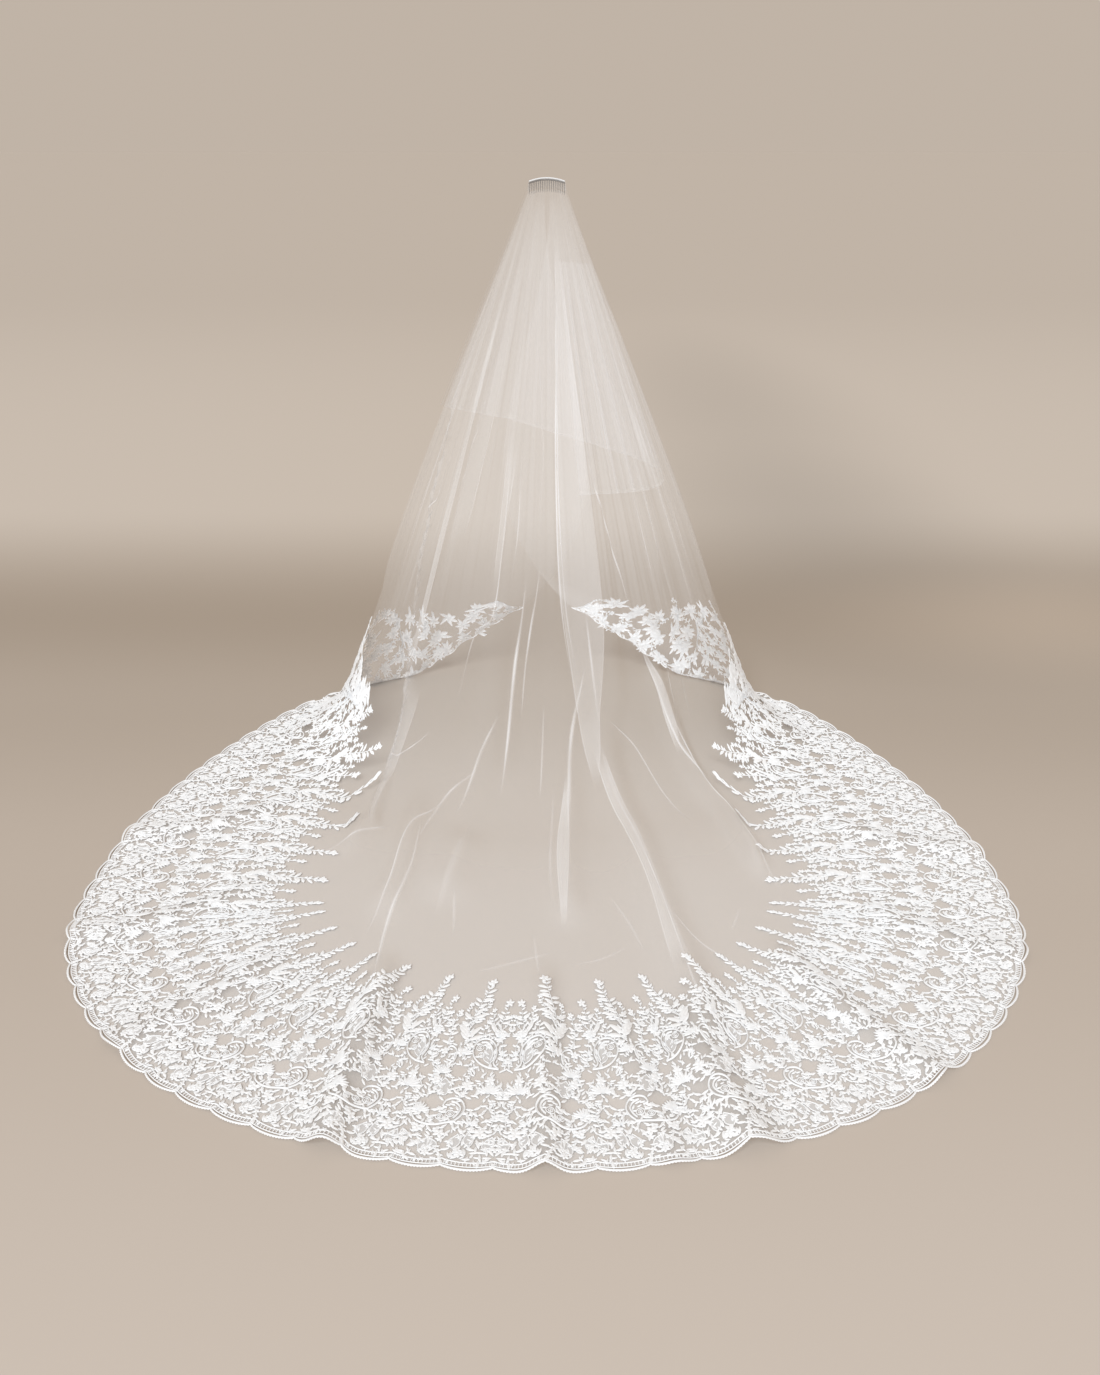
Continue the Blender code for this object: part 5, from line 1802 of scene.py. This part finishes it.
@dataclass
class Comb:
    """The hair comb: a bowed spine with tapered teeth, bound with thread."""

    repeater: Repeater
    plastic: bpy.types.Material
    thread: bpy.types.Material
    width: float = 0.105
    teeth: int = 20
    tooth_length: float = 0.036
    tooth_root: float = 0.0013
    tooth_tip: float = 0.0006
    tilt: float = 0.006
    spine_half_depth: float = 0.0012
    spine_height: float = 0.005
    spine_steps: int = 60
    tube_sides: int = 12
    wire: float = 0.0015
    wire_lift: float = 0.0018
    thread_unevenness: float = 0.0002
    turns: int = 64
    winding: float = 0.0019

    def bow(self, points: Array) -> Array:
        """Bow straight work as the comb is bowed."""
        drop = BOW * (points[:, 0] / HEADING_HALF_WIDTH) ** 2
        return points - np.stack([np.zeros(len(points)), drop, drop], axis=1)

    def tooth(self) -> tuple[Array, Array]:
        """One tapered round tooth with a closed, rounded tip."""
        rows, sides = 10, 8
        turns = np.linspace(0.0, 2.0 * math.pi, sides, endpoint=False)
        points = []
        for share in np.linspace(0.0, 1.0, rows):
            radius = self.tooth_root + (self.tooth_tip - self.tooth_root) * share
            if share == 1.0:
                radius *= 0.5
            drop = self.tooth_length * share
            lean = self.tilt * max(share * self.tooth_length - self.spine_height, 0.0) / self.tooth_length
            for turn in turns:
                points.append((radius * math.cos(turn), -lean + 0.7 * radius * math.sin(turn), -drop))
        points.append((0.0, -self.tilt * 0.86, -self.tooth_length - 0.0004))
        faces = ring_faces(rows, sides)
        end, foot = len(points) - 1, (rows - 1) * sides
        faces += [(foot + i, end, foot + (i + 1) % sides) for i in range(sides)]
        return np.array(points), np.array(faces)

    def tube(self, radii: Pair, centre: Pair) -> tuple[Array, Array]:
        """A straight tube along the comb's width, with closed ends.

        Args:
            radii: Its half depth and half height.
            centre: Y and Z of its axis.

        Returns:
            Points and triangles.
        """
        sides, steps = self.tube_sides, self.spine_steps
        turns = np.linspace(0.0, 2.0 * math.pi, sides, endpoint=False)
        xs = np.linspace(-self.width / 2.0, self.width / 2.0, steps)
        points = [
            (x, centre[0] + radii[0] * math.cos(turn), centre[1] + radii[1] * math.sin(turn))
            for x in xs
            for turn in turns
        ]
        faces = ring_faces(steps, sides)
        for row, flip in ((0, False), (steps - 1, True)):
            points.append((xs[row], centre[0], centre[1]))
            middle = len(points) - 1
            for i in range(sides):
                a, b = row * sides + i, row * sides + (i + 1) % sides
                faces.append((b, a, middle) if not flip else (a, b, middle))
        return np.array(points), np.array(faces)[:, ::-1]

    def build(self) -> None:
        """Build the teeth, spine and binding."""
        points, faces = self.tooth()
        motif = mesh_piece("tooth_motif", points, faces, self.plastic)
        pitch = (self.width - 2.0 * self.tooth_root) / (self.teeth - 1)
        start = -self.width / 2.0 + self.tooth_root
        placed, triangles, _ = self.repeater.row_of(motif, self.teeth, start, pitch, self.plastic)
        bpy.data.objects.remove(motif)
        half = self.spine_height / 2.0
        spine_points, spine_faces = self.tube((self.spine_half_depth, half), (0.0, -half))
        points = np.vstack([self.bow(placed), self.bow(spine_points)])
        faces = np.vstack([triangles, spine_faces + len(placed)])
        place_piece(mesh_piece("comb_body", points, faces, self.plastic), "comb")
        self.build_binding()

    def build_binding(self) -> None:
        """Build the thread wound round the spine and the wire along it."""
        sides, around = 6, 14
        points, faces = [], []
        for i in range(around):
            turn = 2.0 * math.pi * i / around
            for j in range(sides):
                spin = 2.0 * math.pi * j / sides
                reach = 1.0 + 0.0006 / self.winding * math.cos(spin)
                points.append((
                    0.0009 * math.sin(spin) + 0.0006 * math.sin(turn),
                    self.winding * reach * math.cos(turn),
                    0.0017 + self.winding * reach * math.sin(turn),
                ))
        for i in range(around):
            for j in range(sides):
                a = i * sides + j
                b = i * sides + (j + 1) % sides
                c = (i + 1) % around * sides + (j + 1) % sides
                d = (i + 1) % around * sides + j
                faces += [(a, b, c), (a, c, d)]
        motif = mesh_piece("winding_motif", np.array(points), np.array(faces)[:, ::-1], self.thread)
        pitch = self.width / self.turns
        start = -self.width / 2.0 + pitch / 2.0
        placed, triangles, _ = self.repeater.row_of(
            motif, self.turns, start, pitch, self.thread, self.thread_unevenness, 5
        )
        bpy.data.objects.remove(motif)
        wire, wire_faces = self.tube((self.wire, self.wire), (0.0, self.wire_lift))
        points = np.vstack([self.bow(placed), self.bow(wire)])
        faces = np.vstack([triangles, wire_faces + len(placed)])
        place_piece(mesh_piece("comb_binding_thread", points, faces, self.thread), "comb_binding")


@dataclass
class Studio:
    """Pale floor with painted shade and painted shadow in its colour, soft light and the camera."""

    floor_z: float = -DROP - 0.001
    reach: float = 400.0
    camera_at: tuple[float, float, float] = (0.009, -4.17, 0.09)
    camera_down: float = 22.0
    lens: float = 35.0
    lift: float = -0.0015
    tones_with_painted_shade: tuple[tuple[float, Colour], ...] = (
        # Y, colour of the floor there; the darkest band, at Y 0 to 0.9 just behind the veil, is painted
        # shade
        (-3.0, (0.645, 0.570, 0.500, 1.0)),
        (-1.2, (0.540, 0.465, 0.395, 1.0)),
        (0.0, (0.462, 0.392, 0.325, 1.0)),
        (0.9, (0.405, 0.336, 0.271, 1.0)),
        (2.7, (0.620, 0.547, 0.473, 1.0)),
        (14.0, (0.557, 0.487, 0.4175, 1.0)),
    )
    light_and_shade_zones: tuple[tuple[float, float, float, float, float], ...] = (
        # X and Y of its middle, reach to the side, reach in depth, gain; the first two paint the veil's
        # soft shadow to its right, the last paints light into the right end of the painted shade band
        (1.28, 2.3, 1.25, 2.5, -0.13),
        (1.32, 5.2, 1.35, 6.0, -0.13),
        (1.90, 0.9, 1.30, 0.8, 0.24),
    )
    surround: Colour = (0.530, 0.455, 0.385, 1.0)
    sun_colour: tuple[float, float, float] = (0.80, 0.90, 1.0)
    sun_strength: float = 2.6
    sun_from: tuple[float, float, float] = (-0.15, -0.75, 0.64)
    sun_softness: float = 32.0

    def build(self) -> None:
        """Build floor, lights, world and camera."""
        self.floor()
        self.lights()
        self.camera()

    def floor(self) -> None:
        """A wide floor whose colour carries painted shade: darker in a band just behind the veil, where the
        veil's shade and a studio sweep's bend fall, with painted shadow patches to its right.
        """
        mesh = bpy.data.meshes.new("studio_floor")
        r = self.reach
        mesh.from_pydata([(-r, -r, 0), (r, -r, 0), (r, r, 0), (-r, r, 0)], [], [(0, 1, 2, 3)])
        mesh.transform(Matrix.Translation((0.0, 0.0, self.floor_z)))
        made, tree, shader = new_material("floor_paper")
        set_inputs(shader, {"Roughness": 0.9, "Specular IOR Level": 0.1})
        where = tree.nodes.new("ShaderNodeTexCoord")
        split = tree.nodes.new("ShaderNodeSeparateXYZ")
        scale = tree.nodes.new("ShaderNodeMapRange")
        first, last = self.tones_with_painted_shade[0][0], self.tones_with_painted_shade[-1][0]
        set_inputs(scale, {"From Min": first, "From Max": last})
        ramp = tree.nodes.new("ShaderNodeValToRGB")
        ramp.color_ramp.interpolation = "EASE"
        stops = ramp.color_ramp.elements
        stops[0].color = self.tones_with_painted_shade[0][1]
        stops[1].color = self.tones_with_painted_shade[-1][1]
        for y, colour in self.tones_with_painted_shade[1:-1]:
            stops.new((y - first) / (last - first)).color = colour
        join(
            tree,
            (where, "Object", split, "Vector"),
            (split, "Y", scale, "Value"),
            (scale, "Result", ramp, "Fac"),
        )
        # The ramp above and the patches below paint shade, shadow and light into the floor's colour.
        tone = ramp.outputs["Color"]
        # Each of these soft patches paints shadow or light into the floor's colour.
        for light_and_shade_zone in self.light_and_shade_zones:
            tone = self.light_and_shade_zone(tree, where.outputs["Object"], tone, light_and_shade_zone)
        tree.links.new(tone, shader.inputs["Base Color"])
        mesh.materials.append(made)
        floor = bpy.data.objects.new("studio_floor", mesh)
        bpy.context.scene.collection.objects.link(floor)

    def light_and_shade_zone(
        self,
        tree: bpy.types.NodeTree,
        where: bpy.types.NodeSocket,
        tone: bpy.types.NodeSocket,
        light_and_shade_zone: tuple[float, float, float, float, float],
    ) -> bpy.types.NodeSocket:
        """Paint light into a soft round patch of the floor's colour, or paint shade where its gain is below
        zero.

        Args:
            tree: The floor's node tree.
            where: Its coordinates.
            tone: Its colour so far.
            light_and_shade_zone: X and Y of its middle, its reach in X and Y, and by what share it is
                lighter.

        Returns:
            The new colour.
        """
        x, y, reach, depth, gain = light_and_shade_zone
        place = tree.nodes.new("ShaderNodeMapping")
        set_inputs(place, {
            "Location": (-x / reach, -y / depth, 0.0),
            "Scale": (1.0 / reach, 1.0 / depth, 0.0),
        })
        ball = tree.nodes.new("ShaderNodeTexGradient")
        ball.gradient_type = "SPHERICAL"
        soft = tree.nodes.new("ShaderNodeMapRange")
        soft.interpolation_type = "SMOOTHSTEP"
        set_inputs(soft, {"To Min": 1.0, "To Max": 1.0 + gain})
        scale = tree.nodes.new("ShaderNodeVectorMath")
        scale.operation = "SCALE"
        tree.links.new(where, place.inputs["Vector"])
        tree.links.new(tone, scale.inputs["Vector"])
        join(
            tree,
            (place, "Vector", ball, "Vector"),
            (ball, "Fac", soft, "Value"),
            (soft, "Result", scale, "Scale"),
        )
        return scale.outputs["Vector"]

    def lights(self) -> None:
        """One soft key from the left front and an even surround."""
        sun = bpy.data.lights.new("key", "SUN")
        sun.energy = self.sun_strength
        sun.color = self.sun_colour
        sun.angle = math.radians(self.sun_softness)
        made = bpy.data.objects.new("key", sun)
        made.rotation_euler = Vector(self.sun_from).to_track_quat("Z", "Y").to_euler()
        bpy.context.scene.collection.objects.link(made)
        world = bpy.data.worlds.new("surround")
        bpy.context.scene.world = world
        world.use_nodes = True
        shade = world.node_tree.nodes["Background"]
        shade.inputs["Color"].default_value = self.surround

    def camera(self) -> None:
        """The camera at the photograph's place and angle."""
        lens = bpy.data.cameras.new("camera")
        lens.lens = self.lens
        lens.sensor_width = 36.0
        lens.shift_y = self.lift
        made = bpy.data.objects.new("camera", lens)
        made.location = self.camera_at
        made.rotation_euler = (math.radians(90.0 - self.camera_down), 0.0, 0.0)
        bpy.context.scene.collection.objects.link(made)
        scene = bpy.context.scene
        scene.camera = made
        scene.view_settings.view_transform = "Standard"
        scene.cycles.transparent_max_bounces = 32


def main() -> None:
    """Build every piece in order and report it."""
    logging.basicConfig(level=logging.INFO, format="%(name)s: %(message)s")
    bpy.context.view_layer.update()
    Studio().build()
    net = NetFinish().make("soft_net")
    lace = LaceFinish().make("corded_lace")
    plastic = HardFinish((0.21, 0.19, 0.172, 1.0), 0.35).make("comb_plastic")
    thread = HardFinish((0.95, 0.95, 0.95, 1.0), 0.32, grain=900.0).make("binding_thread")
    surface = Surface()
    repeater = Repeater()
    Comb(repeater, plastic, thread).build()
    Heading(net).build()
    LongNet(surface, net).build()
    FoldStrips(surface, net).build()
    LaceBorder(surface, repeater, lace).build()
    ShortTier(net).build()
    bpy.context.view_layer.update()


if __name__ == "__main__":
    main()
